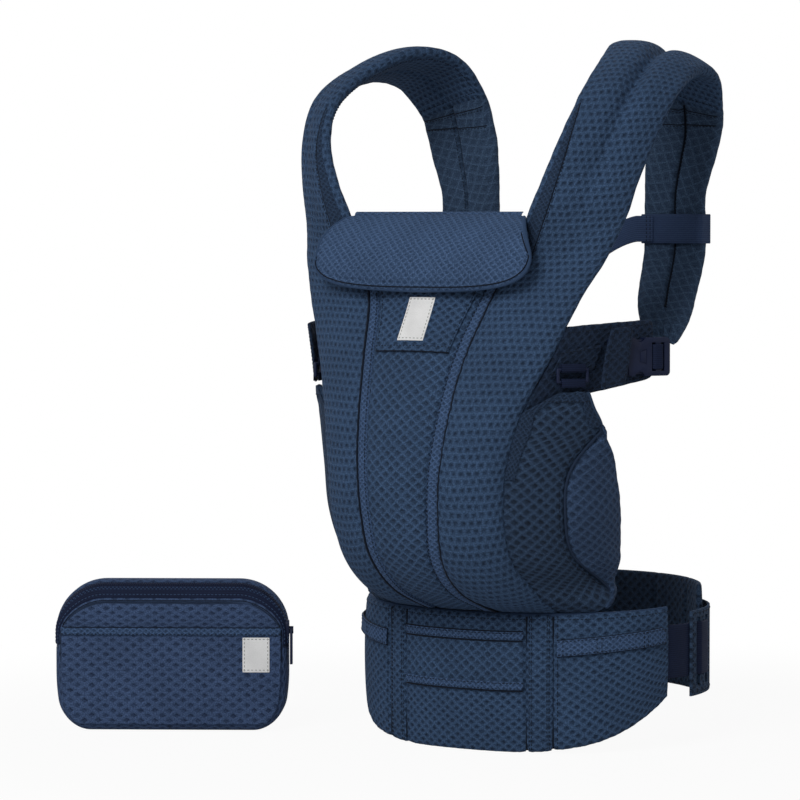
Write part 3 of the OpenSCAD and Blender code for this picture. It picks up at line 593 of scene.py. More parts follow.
def pad_point(u, v, out):
    h = PAD_LOW + ARM_PAD_H * v
    a = pad_root(h)
    d = unit(PAD_END - a)
    u = np.asarray(u, float)
    p = lerp(a, PAD_END, u[..., None])
    p = p + np.stack([d[..., 1], -d[..., 0]], -1) * (out + 2 * np.sin(np.pi * u))[..., None]
    return spot(p[..., 0], p[..., 1], BELT_H + h + u * lerp(24, 5, v))


# ------------------------------------------------------------ materials

def linear(text, tone=1.0):
    """An sRGB hex colour, made lighter or darker, as the linear colour that shaders take."""
    parts = [int(text[i:i + 2], 16) / 255 for i in (1, 3, 5)]
    parts = [p / 12.92 if p <= 0.04045 else ((p + 0.055) / 1.055) ** 2.4 for p in parts]
    return tuple([min(1, p * tone) for p in parts] + [1.0])


def add(tree, kind, settings=None, inputs=None):
    """Add a node with its settings, and its inputs as plain values or as sockets to link."""
    made = tree.nodes.new(kind)
    for key, value in (settings or {}).items():
        setattr(made, key, value)
    for key, value in (inputs or {}).items():
        if isinstance(value, bpy.types.NodeSocket):
            tree.links.new(value, made.inputs[key])
        else:
            made.inputs[key].default_value = value
    return made


# the loose fibres on every cloth catch the light a paler blue at its edges
FUZZ = "#6f8fc0"


def new_material(name, **shader):
    """A material with one Principled shader, whose sockets are set by name."""
    made = bpy.data.materials.new(name)
    made.use_nodes = True
    tree = made.node_tree
    tree.nodes.clear()
    main = add(tree, "ShaderNodeBsdfPrincipled")
    for key, value in shader.items():
        main.inputs[key.replace("_", " ")].default_value = value
    out = add(tree, "ShaderNodeOutputMaterial")
    tree.links.new(main.outputs[0], out.inputs[0])
    return made, tree, main


def maths(tree, operation, a, b=0.0):
    return add(tree, "ShaderNodeMath", {"operation": operation}, {0: a, 1: b}).outputs[0]


def step(tree, value, low, high, to_low=0.0, to_high=1.0):
    made = add(tree, "ShaderNodeMapRange", {"interpolation_type": "SMOOTHSTEP"},
               {"Value": value, "From Min": low, "From Max": high, "To Min": to_low, "To Max": to_high})
    return made.outputs[0]


def blend_colour(tree, factor, a, b, kind="MIX"):
    made = add(tree, "ShaderNodeMix", {"data_type": "RGBA", "blend_type": kind}, {0: factor, 6: a, 7: b})
    return made.outputs[2]


def noise(tree, place_in, scale, detail, rough=0.5):
    made = add(tree, "ShaderNodeTexNoise", {"normalize": True},
               {"Vector": place_in, "Scale": scale, "Detail": detail, "Roughness": rough})
    return made.outputs["Fac"]


def paint(tree, main, colour, shade=None):
    """Link a colour to the shader, made lighter or darker by a shade."""
    if shade is not None:
        grey = add(tree, "ShaderNodeCombineColor", {}, {0: shade, 1: shade, 2: shade}).outputs[0]
        colour = blend_colour(tree, 1.0, colour, grey, "MULTIPLY")
    tree.links.new(colour, main.inputs["Base Color"])


def raise_face(tree, main, height, strength, depth):
    """Link a height to the shader as a bump of a depth in mm."""
    bump = add(tree, "ShaderNodeBump", {}, {"Strength": strength, "Distance": depth * MM, "Height": height})
    tree.links.new(bump.outputs[0], main.inputs["Normal"])


def weave_place(tree):
    """Where a point lies on the weave, in mm."""
    return add(tree, "ShaderNodeAttribute", {"attribute_name": "cloth"}).outputs["Vector"]


def object_place(tree):
    return add(tree, "ShaderNodeTexCoord").outputs["Object"]


def families(tree, cloth, one, two):
    """Where a point lies across two families of yarn ridges, each given as (pitch in mm, angle)."""
    out = []
    for pitch, angle in (one, two):
        a = math.radians(angle)
        out.append(add(tree, "ShaderNodeVectorMath", {"operation": "DOT_PRODUCT"},
                       {0: cloth, 1: (math.cos(a) / pitch, math.sin(a) / pitch, 0)}).outputs["Value"])
    return out


def waffle(name, ridge, pit, one, two, brick=False, depth=1.5, soft=0.5, small=0.2, floor=0.62,
           rib=0.26, crest_highlight=0.6):
    """Warp-knitted polyester air mesh: soft sunk cells between two families of raised yarn ridges.

    The real yarn is 0.2 mm thick; its knit is drawn at 1.3 mm, the finest that shows.
    """
    made, tree, main = new_material(name, Roughness=0.86, Sheen_Weight=0.03, Sheen_Roughness=0.4,
                                    IOR=1.5, Specular_IOR_Level=0.16)
    main.inputs["Sheen Tint"].default_value = linear(FUZZ)
    cloth = weave_place(tree)
    wander = add(tree, "ShaderNodeTexNoise", {}, {"Vector": cloth, "Scale": 0.05, "Detail": 2.0})
    bent = add(tree, "ShaderNodeVectorMath", {"operation": "MULTIPLY_ADD"},
               {0: wander.outputs["Color"], 1: (3.2, 3.2, 0.0), 2: cloth}).outputs[0]
    across, along = families(tree, bent, one, two)
    if brick:
        # every second row is shifted by half a cell
        row = maths(tree, "FLOOR", along, 0.0)
        across = maths(tree, "ADD", across, maths(tree, "MULTIPLY", row, 0.5))
    a, b = (maths(tree, "MULTIPLY", maths(tree, "PINGPONG", k, 0.5), 2.0) for k in (across, along))
    near = add(tree, "ShaderNodeMath", {"operation": "SMOOTH_MIN"}, {0: a, 1: b, 2: soft}).outputs[0]
    # painted shade: each cell is drawn darker, and sunk deeper in the bump, towards its upper side, where the
    # ridge's shadow falls under a light from the top right
    shadow_side = step(tree, maths(tree, "FRACT", along if brick else across), 0.15, 0.8, 0.62, 1.0)
    hollow = maths(tree, "MULTIPLY", step(tree, near, small, floor), shadow_side)
    ribs = step(tree, near, 0.0, rib, 1.0, 0.0)
    yarn = noise(tree, cloth, 0.75, 2.0, 0.65)
    patch = noise(tree, cloth, 0.02, 2.0)
    slack = step(tree, noise(tree, cloth, 0.11, 1.0), 0.3, 0.7, 0.65, 1.0)
    sunk = maths(tree, "MULTIPLY", hollow, slack)
    # painted shade and highlight: the cells take the darker pit colour for the shade in the hollows, and the
    # ridge crests are painted lighter where the light catches them
    colour = blend_colour(tree, sunk, linear(ridge), linear(pit))
    colour = blend_colour(tree, maths(tree, "MULTIPLY", ribs, crest_highlight), colour, linear(ridge, 1.4))
    lit = step(tree, yarn, 0.32, 0.7, 0.64, 1.3)
    worn = step(tree, patch, 0.3, 0.7, 0.93, 1.07)
    paint(tree, main, colour, maths(tree, "MULTIPLY", lit, worn))
    height = maths(tree, "ADD", maths(tree, "MULTIPLY", sunk, -1.0),
                   maths(tree, "ADD", maths(tree, "MULTIPLY", yarn, 0.42), maths(tree, "MULTIPLY", ribs, 0.22)))
    raise_face(tree, main, height, 1.0, depth)
    return made


def plain_weave(name, light, dark, pitch, depth=0.25, sheen=0.2, ribbed=False, rough=0.8):
    """Flat woven polyester: fine ribs at a pitch in mm, which run only across a ribbed one."""
    made, tree, main = new_material(name, Roughness=rough, Sheen_Weight=sheen, Sheen_Roughness=0.5,
                                    IOR=1.5, Specular_IOR_Level=0.12)
    main.inputs["Sheen Tint"].default_value = linear(FUZZ)
    cloth = weave_place(tree)
    axes = add(tree, "ShaderNodeSeparateXYZ", {}, {0: cloth})
    rib_u, rib = (maths(tree, "SINE", maths(tree, "MULTIPLY", axes.outputs[k], 2 * math.pi / pitch))
                  for k in (0, 1))
    if not ribbed:
        rib = maths(tree, "MULTIPLY", rib_u, rib)
    yarn = noise(tree, cloth, 0.9, 2.0, 0.6)
    patch = noise(tree, cloth, 0.03, 2.0)
    height = maths(tree, "ADD", maths(tree, "MULTIPLY", rib, 0.22), yarn)
    colour = blend_colour(tree, step(tree, height, 0.25, 0.75), linear(dark), linear(light))
    paint(tree, main, colour, step(tree, patch, 0.3, 0.7, 0.92, 1.08))
    raise_face(tree, main, height, 0.8, depth)
    return made


def moulded_acetal(name, colour):
    """Injection-moulded acetal: a satin face with a very fine spark-eroded grain."""
    made, tree, main = new_material(name, IOR=1.48, Specular_IOR_Level=0.22)
    place_in = object_place(tree)
    grain = noise(tree, place_in, 1400.0, 2.0, 0.6)
    patch = noise(tree, place_in, 60.0, 2.0)
    paint(tree, main, blend_colour(tree, step(tree, patch, 0.3, 0.7), linear(colour), linear(colour, 1.12)))
    tree.links.new(step(tree, grain, 0.2, 0.8, 0.45, 0.58), main.inputs["Roughness"])
    raise_face(tree, main, grain, 0.35, 0.05)
    return made


def sewing_thread(name, colour):
    """Bonded polyester thread: its twist gives a soft broken sheen."""
    made, tree, main = new_material(name, Roughness=0.8, Sheen_Weight=0.05, IOR=1.5, Specular_IOR_Level=0.12)
    twist = noise(tree, object_place(tree), 900.0, 1.0)
    paint(tree, main, blend_colour(tree, twist, linear(colour), linear(colour, 0.72)))
    return made


# ------------------------------------------------------------ what repeats along a line

def new_tree(name, inputs):
    """A tree that takes lines, with the lines made into curves as its first node."""
    tree = bpy.data.node_groups.new(name, "GeometryNodeTree")
    tree.interface.new_socket("Geometry", in_out="INPUT", socket_type="NodeSocketGeometry")
    for label, kind, value in inputs:
        socket = tree.interface.new_socket(label, in_out="INPUT", socket_type="NodeSocket" + kind)
        if value is not None:
            socket.default_value = value
    tree.interface.new_socket("Geometry", in_out="OUTPUT", socket_type="NodeSocketGeometry")
    given = tree.nodes.new("NodeGroupInput").outputs
    line = add(tree, "GeometryNodeMeshToCurve", {}, {"Mesh": given["Geometry"]})
    return tree, given, line.outputs[0]


def finish_tree(tree, grown, material):
    """Realize what has grown along the lines, smooth it and give it its material."""
    real = add(tree, "GeometryNodeRealizeInstances", {}, {0: grown.outputs[0]})
    smoothed = add(tree, "GeometryNodeSetShadeSmooth", {}, {0: real.outputs[0]})
    dressed = add(tree, "GeometryNodeSetMaterial", {}, {0: smoothed.outputs[0], "Material": material})
    tree.links.new(dressed.outputs[0], tree.nodes.new("NodeGroupOutput").inputs[0])


def stitch_tree():
    """Rounded beads in a row along each line: stitches of thread, or a zip's coil."""
    tree, given, line = new_tree("stitches", [
        ("Pitch", "Float", 0.004), ("Bead Length", "Float", 0.003), ("Bead Width", "Float", 0.0008),
        ("Bead Height", "Float", 0.0006), ("Thread", "Material", None)])
    spaced = add(tree, "GeometryNodeResampleCurve", {"mode": "LENGTH"},
                 {"Curve": line, "Length": given["Pitch"]})
    bead = add(tree, "GeometryNodeMeshUVSphere", {}, {"Segments": 6, "Rings": 4, "Radius": 0.5})
    up = add(tree, "GeometryNodeInputNamedAttribute", {"data_type": "FLOAT_VECTOR"}, {"Name": "up"})
    turn = add(tree, "FunctionNodeAxesToRotation", {"primary_axis": "X", "secondary_axis": "Z"},
               {0: add(tree, "GeometryNodeInputTangent").outputs[0], 1: up.outputs[0]})
    size = add(tree, "ShaderNodeCombineXYZ", {},
               {0: given["Bead Length"], 1: given["Bead Width"], 2: given["Bead Height"]})
    beads = add(tree, "GeometryNodeInstanceOnPoints", {},
                {"Points": spaced.outputs[0], "Instance": bead.outputs[0],
                 "Rotation": turn.outputs[0], "Scale": size.outputs[0]})
    finish_tree(tree, beads, given["Thread"])


def piping_tree():
    """A round cord of cloth along each line."""
    tree, given, line = new_tree("piping", [("Radius", "Float", 0.0015), ("Cloth", "Material", None)])
    ring = add(tree, "GeometryNodeCurvePrimitiveCircle", {"mode": "RADIUS"},
               {"Resolution": 10, "Radius": given["Radius"]})
    cord = add(tree, "GeometryNodeCurveToMesh", {},
               {"Curve": line, "Profile Curve": ring.outputs[0], "Fill Caps": True})
    finish_tree(tree, cord, given["Cloth"])


def grow(name, tree_name, lines, inputs, body):
    """Run a tree along lines of (points, ups) in mm, and keep its result as a plain mesh."""
    points, ups, edges = [], [], []
    for run, up in lines:
        run = np.asarray(run, float).reshape(-1, 3)
        start = len(points)
        points += (run * MM).tolist()
        ups += np.broadcast_to(np.asarray(up, float), run.shape).tolist()
        edges += [(start + i, start + i + 1) for i in range(len(run) - 1)]
    mesh = bpy.data.meshes.new(name)
    mesh.from_pydata(points, edges, [])
    mark(mesh, "up", ups)
    source = linked(name + "_lines", mesh)
    tree = bpy.data.node_groups[tree_name]
    runner = source.modifiers.new(tree_name, "NODES")
    runner.node_group = tree
    for item in tree.interface.items_tree:
        if item.in_out == "INPUT" and item.name in inputs:
            runner[item.identifier] = inputs[item.name]
    result = baked(source)
    if not result.polygons:
        raise RuntimeError(f"{name}: nothing grew along its lines")
    result.name = name
    made = linked(name, result)
    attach(made, body)
    return made


def stitches(name, lines, body="carrier", thread="thread"):
    s = bpy.context.scene.carrier_sewing
    return grow(name, "stitches", lines,
                {"Pitch": s.pitch, "Bead Length": s.length, "Bead Width": s.width,
                 "Bead Height": s.width * 0.8, "Thread": MATERIALS[thread]}, body)


# by default the cord is dark seam cloth: painted shade laid in a seam or under an edge
def piping(name, lines, radius, cloth="seam", body="carrier"):
    return grow(name, "piping", lines, {"Radius": radius, "Cloth": MATERIALS[cloth]}, body)


# ------------------------------------------------------------ what a user may change

class CarrierCloth(bpy.types.PropertyGroup):
    ridge: bpy.props.StringProperty(name="Mesh ridges", default="#3a5170",
                                    description="Colour of the raised yarn of the air mesh")
    pit: bpy.props.StringProperty(name="Mesh cells", default="#1d2c42",
                                  description="Colour at the bottom of the mesh's cells")
    dark_ridge: bpy.props.StringProperty(name="Inner mesh ridges", default="#32455f",
                                         description="Ridges of the mesh on the inner side")
    dark_pit: bpy.props.StringProperty(name="Inner mesh cells", default="#141e2d",
                                       description="Cells of the mesh on the inner side")
    fine_ridge: bpy.props.StringProperty(name="Headrest ridges", default="#435a7c",
                                         description="Ridges of the headrest's fine mesh")
    fine_pit: bpy.props.StringProperty(name="Headrest cells", default="#304563",
                                       description="Cells of the headrest's fine mesh")
    band: bpy.props.StringProperty(name="Binding", default="#34496a",
                                   description="Colour of the smooth binding bands")
    webbing: bpy.props.StringProperty(name="Webbing", default="#1c2640",
                                      description="Colour of the woven webbing")
    thread: bpy.props.StringProperty(name="Thread", default="#18212f",
                                     description="Colour of the sewing thread")
    plastic: bpy.props.StringProperty(name="Buckles", default="#111b36",
                                      description="Colour of the moulded buckles")
    label: bpy.props.StringProperty(name="Labels", default="#ffffff",
                                    description="Colour of the bare woven labels")
    pitch: bpy.props.FloatProperty(name="Mesh pitch", default=7.4, min=3, max=12,
                                   description="Spacing of the mesh's cells, in millimetres")
    fine_pitch: bpy.props.FloatProperty(name="Fine mesh pitch", default=5.2, min=3, max=12,
                                        description="Spacing of the headrest's cells, in millimetres")


class CarrierSewing(bpy.types.PropertyGroup):
    pitch: bpy.props.FloatProperty(name="Stitch pitch", default=0.0036, min=0.001, max=0.01,
                                   unit="LENGTH", description="Distance from one stitch to the next")
    length: bpy.props.FloatProperty(name="Stitch length", default=0.0027, min=0.001, max=0.01,
                                    unit="LENGTH", description="Length of the thread that shows")
    width: bpy.props.FloatProperty(name="Thread width", default=0.0009, min=0.0002, max=0.002,
                                   unit="LENGTH", description="Width of the thread that shows")
    piping: bpy.props.FloatProperty(name="Piping radius", default=0.0017, min=0.0005, max=0.004,
                                    unit="LENGTH", description="Radius of the headrest's piping")
    fullness: bpy.props.FloatProperty(name="Fullness", default=0.42, min=0.2, max=1.0,
                                      description="How soon a pad swells from its seams: less is fuller")


class CarrierStage(bpy.types.PropertyGroup):
    key: bpy.props.FloatProperty(name="Key light", default=49.0, min=0, unit="POWER",
                                 description="Power of the large soft light in front")
    fill: bpy.props.FloatProperty(name="Fill light", default=1.0, min=0, unit="POWER",
                                  description="Power of the soft light at the side")
    sky: bpy.props.FloatProperty(name="Surrounding light", default=0.23, min=0, max=2,
                                 description="Strength of the even light from all round")
    floor: bpy.props.StringProperty(name="Floor", default="#f4f4f4", description="Colour of the floor")


# ------------------------------------------------------------ operators, one for each group of pieces

class PieceOperator:
    bl_options = {"REGISTER", "UNDO"}

    def execute(self, context):
        self.make(context)
        return {"FINISHED"}


class CARRIER_OT_materials(PieceOperator, bpy.types.Operator):
    """Make the carrier's cloths, webbing, thread and plastics"""
    bl_idname = "carrier.materials"
    bl_label = "Materials"

    def make(self, context):
        c = context.scene.carrier_cloth

        def cells(share_x, share_y):
            """Two slanting families whose cells lie share_x apart in a row and share_y apart in a column."""
            x, y = share_x * c.pitch, share_y * c.pitch
            pitch = 1 / math.hypot(1 / x, 1 / y)
            angle = math.degrees(math.atan2(1 / y, 1 / x))
            return (pitch, angle), (pitch, 180 - angle)

        rows = (0.89 * c.pitch, 4), (0.99 * c.pitch, 92)
        fine = (1.1 * c.fine_pitch, 136), (0.73 * c.fine_pitch, 62)
        leaning = (1.25 * c.pitch, 151), (1.25 * c.pitch, 80)
        for key, kind, ridge, pit, ridges, look in (
                ("mesh", "straight", c.ridge, c.pit, rows, dict(brick=True, small=0.24, floor=0.82, crest_highlight=0.5)),
                ("mesh_diagonal", "diagonal", c.ridge, c.pit, cells(1.4, 1.09), dict(small=0.3, floor=0.7)),
                ("mesh_centre", "centre", c.ridge, "#26364d", cells(1.5, 1.26), {}),
                ("mesh_pouch", "pouch", "#44587c", "#273550", cells(1.84, 1.31),
                 dict(soft=0.1, small=0.44, floor=0.6, crest_highlight=0.15)),
                ("mesh_small", "small", "#41587b", "#2c3e58", cells(0.85, 0.7), dict(depth=0.5)),
                ("mesh_fine", "fine", c.fine_ridge, c.fine_pit, fine, dict(depth=0.55)),
                ("mesh_dark", "inner", c.dark_ridge, c.dark_pit, cells(1.62, 1.3),
                 dict(small=0.28, rib=0.16, crest_highlight=0.9)),
                ("mesh_thigh", "thigh", "#3c5171", "#26364f", cells(1.9, 1.34),
                 dict(small=0.28, rib=0.16, crest_highlight=0.9)),
                ("mesh_back", "back", "#3b4f69", "#2f415a", leaning,
                 dict(depth=0.7, soft=0.1, small=0.2, rib=0.13, crest_highlight=1.3)),
                ("mesh_edge", "edge", "#293a52", "#1c293c", cells(0.85, 0.7), dict(depth=0.6)),
                ("mesh_under", "underarm", "#223046", "#151f2f", cells(1.3, 1.15),
                 dict(depth=1.0, small=0.3, rib=0.16, crest_highlight=0.7))):
            MATERIALS[key] = waffle("air_mesh_" + kind, ridge, pit, *ridges, **look)
        for key, name, light, dark, pitch, look in (
                ("mesh_fine_lip", "headrest_lip", "#3a5070", "#2a3d58", 2.2, {}),
                ("band", "twill_band", c.band, "#25354c", 2.2, {}),
                ("lining", "lining_cloth", "#1d283a", "#131b28", 2.0, {}),
                ("webbing", "ribbed_webbing", c.webbing, "#121a30", 1.9,
                 dict(sheen=0.02, ribbed=True, rough=0.75)),
                # painted light: the chest strap's webbing is the same webbing, painted lighter to make up for
                # the shade that the chest strap stands in
                ("webbing_painted_lighter", "ribbed_webbing_chest", "#394b6d", "#2d3c59", 1.9,
                 dict(sheen=0.05, ribbed=True, rough=0.7)),
                ("label", "woven_label", c.label, "#f4f4f3", 1.4, dict(depth=0.08, sheen=0.0))):
            MATERIALS[key] = plain_weave(name, light, dark, pitch, **look)
        MATERIALS["plastic"] = moulded_acetal("moulded_acetal", c.plastic)
        # the seam colour is no thread: it dresses the dark cords laid in seams and under edges, which paint the
        # shade there
        for key, name, colour in (("thread", "sewing_thread", c.thread), ("seam", "seam_thread", "#121b2a"),
                                  ("thread_light", "sewing_thread_light", "#40587c"),
                                  ("thread_label", "sewing_thread_label", "#b9b9b6")):
            MATERIALS[key] = sewing_thread(name, colour)
        stitch_tree()
        piping_tree()


def belt_part(t0, t1, seed, full=BELT_T):
    return Pad(belt_face(t0 + GAP_ANGLE, t1 - GAP_ANGLE, BELT_MID),
               swell(full, EDGE_T, bpy.context.scene.carrier_sewing.fullness),
               puckers(0.35, 46 * (t1 - t0) / 47, 22, seed))


class CARRIER_OT_belt(PieceOperator, bpy.types.Operator):
    """Make the padded waist belt with its bands, loop straps and lining"""
    bl_idname = "carrier.belt"
    bl_label = "Waist belt"

    def make(self, context):
        front = belt_part(-SEAM_ANGLE, SEAM_ANGLE, 1)
        strip = belt_part(SEAM_ANGLE, STRIP_ANGLE, 2, STRIP_T)
        wing = belt_part(STRIP_ANGLE, WING_END, 3)
        soft("belt_front", front, (110, 64), "mesh_diagonal", "belt_centre", 0.7)
        piece = pair("belt_strip_pair", [strip.mesh("belt_strip", (24, 60))], "mesh_diagonal", "belt_strips")
        soft("right_wing_pad", wing, (90, 60), "mesh_diagonal", "right_wing", 0.7)
        self.front_pocket(front)
        self.loop_straps(wing)
        self.seams(front, strip, wing)
        lining = Pad(belt_face(-WING_END, WING_END, -BELT_T - GAP - LINING_T / 2), even(2.6),
                     puckers(0.3, 120, 20, 6))
        piece = place("belt_inner_lining", lining.mesh("belt_inner_lining", (220, 30)), "lining",
                      "belt_lining")

    def front_pocket(self, front):
        """A flat pocket of fine mesh across the front, with a band along its top and its foot."""
        def sewn_on(near, far, low, high, lift):
            return lambda u, v: front.skin(lerp(near, far, u), lerp(low / BELT_H, high / BELT_H, v), 1, lift)[0]

        patch = sewn_on(0.02, 0.98, BAND_LOW + 1, BAND_HIGH + BAND_W - 1, 0.45)
        pocket = Pad(patch, even(0.9), puckers(0.2, 30, 12, 5))
        panel = place("front_pocket_panel", pocket.mesh("front_pocket_panel", (100, 30)), "mesh_centre")
        meshes, lines = [], []
        for z in (BAND_LOW, BAND_HIGH):
            surface = sewn_on(0.015, 0.985, z, z + BAND_W, 2.0)
            meshes.append(Pad(surface, lambda u, v: 1.1 + 1.5 * bell(v, 0.0, 0.2)).mesh("band", (100, 8)))
            for v in (z / BELT_H + 0.012, (z + BAND_W) / BELT_H - 0.012):
                lines.append(seam_line(front, (0.02, 0.98), v, lift=2.75))
        piece = place("front_band_pair", joined("front_band_pair", meshes), "mesh_small", "front_bands")
        stitches("front_band_stitches", lines)
        # painted shadow: dark cords just under each band and along the top band's upper edge stand in for the
        # shade at their edges
        edges = (BAND_LOW - 0.6, 1.6), (BAND_HIGH - 0.6, 1.6), (BAND_HIGH + BAND_W + 0.4, 1.0)
        piping("front_band_edges", [seam_line(front, (0.02, 0.98), z / BELT_H, lift=lift) for z, lift in edges],
               0.0006)

    def loop_straps(self, wing):
        """A strap sewn on each wing, which stands off between its seams and so makes loops."""
        def low_edge(u):
            t = lerp(STRIP_ANGLE, WING_END, u)
            low, high = belt_z(t, 0), belt_z(t, 1)
            return (WEB_Z - 2 + 12 * u - low) / (high - low)

        def high_edge(u):
            t = lerp(STRIP_ANGLE, WING_END, u)
            round_end = np.sqrt(np.clip((0.94 - u) / 0.05, 0, 1))
            return low_edge(u) + LOOP_W * lerp(0.55, 1, round_end) / (belt_z(t, 1) - belt_z(t, 0))

        def bowed(a, b):
            lift = 2.0 + 0.6 * np.abs(np.sin(np.pi * 2 * a))
            u = lerp(0.03, 0.94, a)
            return wing.skin(u, lerp(low_edge(u), high_edge(u), b), 1, lift)[0]

        strap = Pad(bowed, even(1.7))
        piece = pair("loop_strap_pair", [strap.mesh("loop", (80, 10))], "mesh_small", "loop_straps")
        lines = [seam_line(strap, (0.02, 0.98), v, lift=0.1) for v in (0.09, 0.91)]
        lines += [seam_line(strap, u, (0.1, 0.9), lift=0.1, count=20) for u in (0.05, 0.32, 0.36, 0.74, 0.78)]
        stitches("loop_strap_stitches", both(lines))
        # painted shadow: dark cords tucked under the strap's two edges
        edges = [seam_line(strap, (0.0, 1.0), k, lift=-1.4) for k in (0.0, 1.0)]
        piping("loop_strap_edges", both(edges), 0.0006)

    def seams(self, front, strip, wing):
        """The belt's stitches, dark cords of painted shade in the grooves of its upright seams, and the binding
        along its top.
        """
        lines = [seam_line(pad, (0.01, 0.99), 0.965, lift=0.05) for pad in (strip, wing)]
        lines += [seam_line(strip, u, (0.02, 0.98), lift=0.1) for u in (0.12, 0.2, 0.8, 0.88)]
        lines.append(seam_line(wing, 0.035, (0.02, 0.98), lift=0.1))
        stitches("belt_stitches", [seam_line(front, (0.01, 0.99), 0.965, lift=0.05)] + both(lines))
        # painted shade: dark cords in the grooves of the upright seams
        v, forwards = np.linspace(0.03, 0.985, 60), np.array([0, -1.0, 0])
        grooves = [(waist(t, BELT_MID + EDGE_T / 2 - 0.4, belt_z(np.full(60, t), v)), forwards)
                   for t in (SEAM_ANGLE, STRIP_ANGLE)]
        piping("belt_upright_seams", both(grooves), 0.0009)
        t = np.linspace(-WING_END, WING_END, 220)
        rim = waist(t, BELT_MID, belt_z(t, 1) - 0.6)
        piping("belt_top_binding", [(rim, np.array([0, 0, 1.0]))], 0.0022, "band")


TAB_START, PAD_START, TAB_END = 95, 118, 228
SLOTS = (100.5, 109.5)
LUMBAR_Z, TAB_Z = WEB_Z + 3, WEB_Z - 4
UNDER_TAB = -SLEEVE_T - GAP - WEB_T / 2
OVER_BAR = WEB_T / 2 + GAP
CROSS = SLOT_W / WAIST_R * 90 / math.pi * 0.62
BUCKLE_ANGLE, WIDE_BASE, WIDE_LENGTH = 258, 22, 42
IN_CLIP, IN_HOUSING = -6, -8


def mirror_angle(t):
    return TAB_START + TAB_END - t


def web_radius(t):
    """The waist webbing's radius: through the first slot, over the bar and in by the second."""
    a = np.where(t > (TAB_START + TAB_END) / 2, mirror_angle(t), t)
    stops = [WING_END, WING_END + 11, SLOTS[0] - CROSS, SLOTS[0] + CROSS, SLOTS[1] - CROSS,
             SLOTS[1] + CROSS, PAD_START]
    r = [-BELT_T / 2, UNDER_TAB, UNDER_TAB, OVER_BAR, OVER_BAR, UNDER_TAB, UNDER_TAB]
    return np.interp(a, stops, r)


def waist_joint_angle(x):
    return BUCKLE_ANGLE + math.degrees(math.atan(x / (WAIST_R - 7)))


class CARRIER_OT_lumbar(PieceOperator, bpy.types.Operator):
    """Make the lumbar cushion, its slotted sleeve and the waist webbing"""
    bl_idname = "carrier.lumbar"
    bl_label = "Lumbar pad and waist webbing"

    def make(self, context):
        end = mirror_angle(PAD_START)
        r = -SLEEVE_T - GAP - WEB_T - GAP - LUMBAR_T / 2

        def back(u, v):
            return waist(lerp(PAD_START, end, u), r, LUMBAR_Z + (v - 0.5) * LUMBAR_H)

        def channels(u, v, side):
            groove = sum(bell(u, k, 0.012) for k in (0.25, 0.5, 0.75))
            return -2.2 * groove * np.clip(6 * v, 0, 1) * np.clip(6 * (1 - v), 0, 1)

        cushion = Pad(back, swell(LUMBAR_T, 4, 0.35), channels)
        soft("lumbar_cushion", cushion, (140, 50), "mesh_dark", "lumbar_pad", 0.6, "dark_mesh")
        sleeve = moulded("lumbar_sleeve", "mesh_dark", 0.6, "lumbar_outer_sleeve")
        cloth_of(sleeve.data, lambda p: spot(np.arctan2(p[:, 0], WAIST_Y - p[:, 1]) * WAIST_R, p[:, 2], 0))
        self.sleeve_seams()
        self.webbing_round(end)
        buckle("waist")

    def sleeve_seams(self):
        def line(t, z):
            return waist(t, 0.1, z), waist(t, 1, z) - waist(t, 0, z)

        lines = []
        t = np.linspace(TAB_START + 1, TAB_END - 1, 160)
        for z in (TAB_Z - SLEEVE_H / 2 + 3, TAB_Z + SLEEVE_H / 2 - 3):
            lines.append(line(t, z))
        z = np.linspace(TAB_Z - SLEEVE_H / 2 + 4, TAB_Z + SLEEVE_H / 2 - 4, 30)
        beside = TAB_START + 1.2, SLOTS[0] + 4.5, SLOTS[1] + 5
        for t in beside + tuple(mirror_angle(k) for k in beside[::-1]):
            lines.append(line(np.full_like(z, t), z))
        stitches("lumbar_stitches", lines)

    def webbing_round(self, end):
        """The waist webbing, from the wing through the tab and the buckle to the other wing."""
        def wide(t, r, v):
            return waist(t, r, WEB_Z + (v - 0.5) * WAIST_WEB)

        def long_way(u, v):
            t = np.interp(u, [0, 0.36, 0.64, 1], [WING_END + GAP_ANGLE * 4, PAD_START, end, TAB_END])
            return wide(t, web_radius(t), v)

        last = waist_joint_angle(-WIDE_BASE) - 0.2

        def free_way(u, v):
            t = lerp(TAB_END + 2 * GAP_ANGLE, last, u)
            return wide(t, lerp(UNDER_TAB, IN_CLIP, (t - TAB_END) / 20), v)

        def short_way(u, v):
            t = lerp(waist_joint_angle(WIDE_LENGTH) + 0.6, 360 - WING_END - 4 * GAP_ANGLE, u)
            return wide(t, IN_HOUSING, v)

        webbing("waist_webbing_long", long_way, (260, 16), "waist_web_long")
        webbing("waist_webbing_free", free_way, (60, 16), "waist_web_free",
                ("carrier", "waist_clip", waist(TAB_END + 1, UNDER_TAB, WEB_Z), waist(last, IN_CLIP, WEB_Z)))
        webbing("waist_webbing_short", short_way, (40, 16), "waist_web_short")


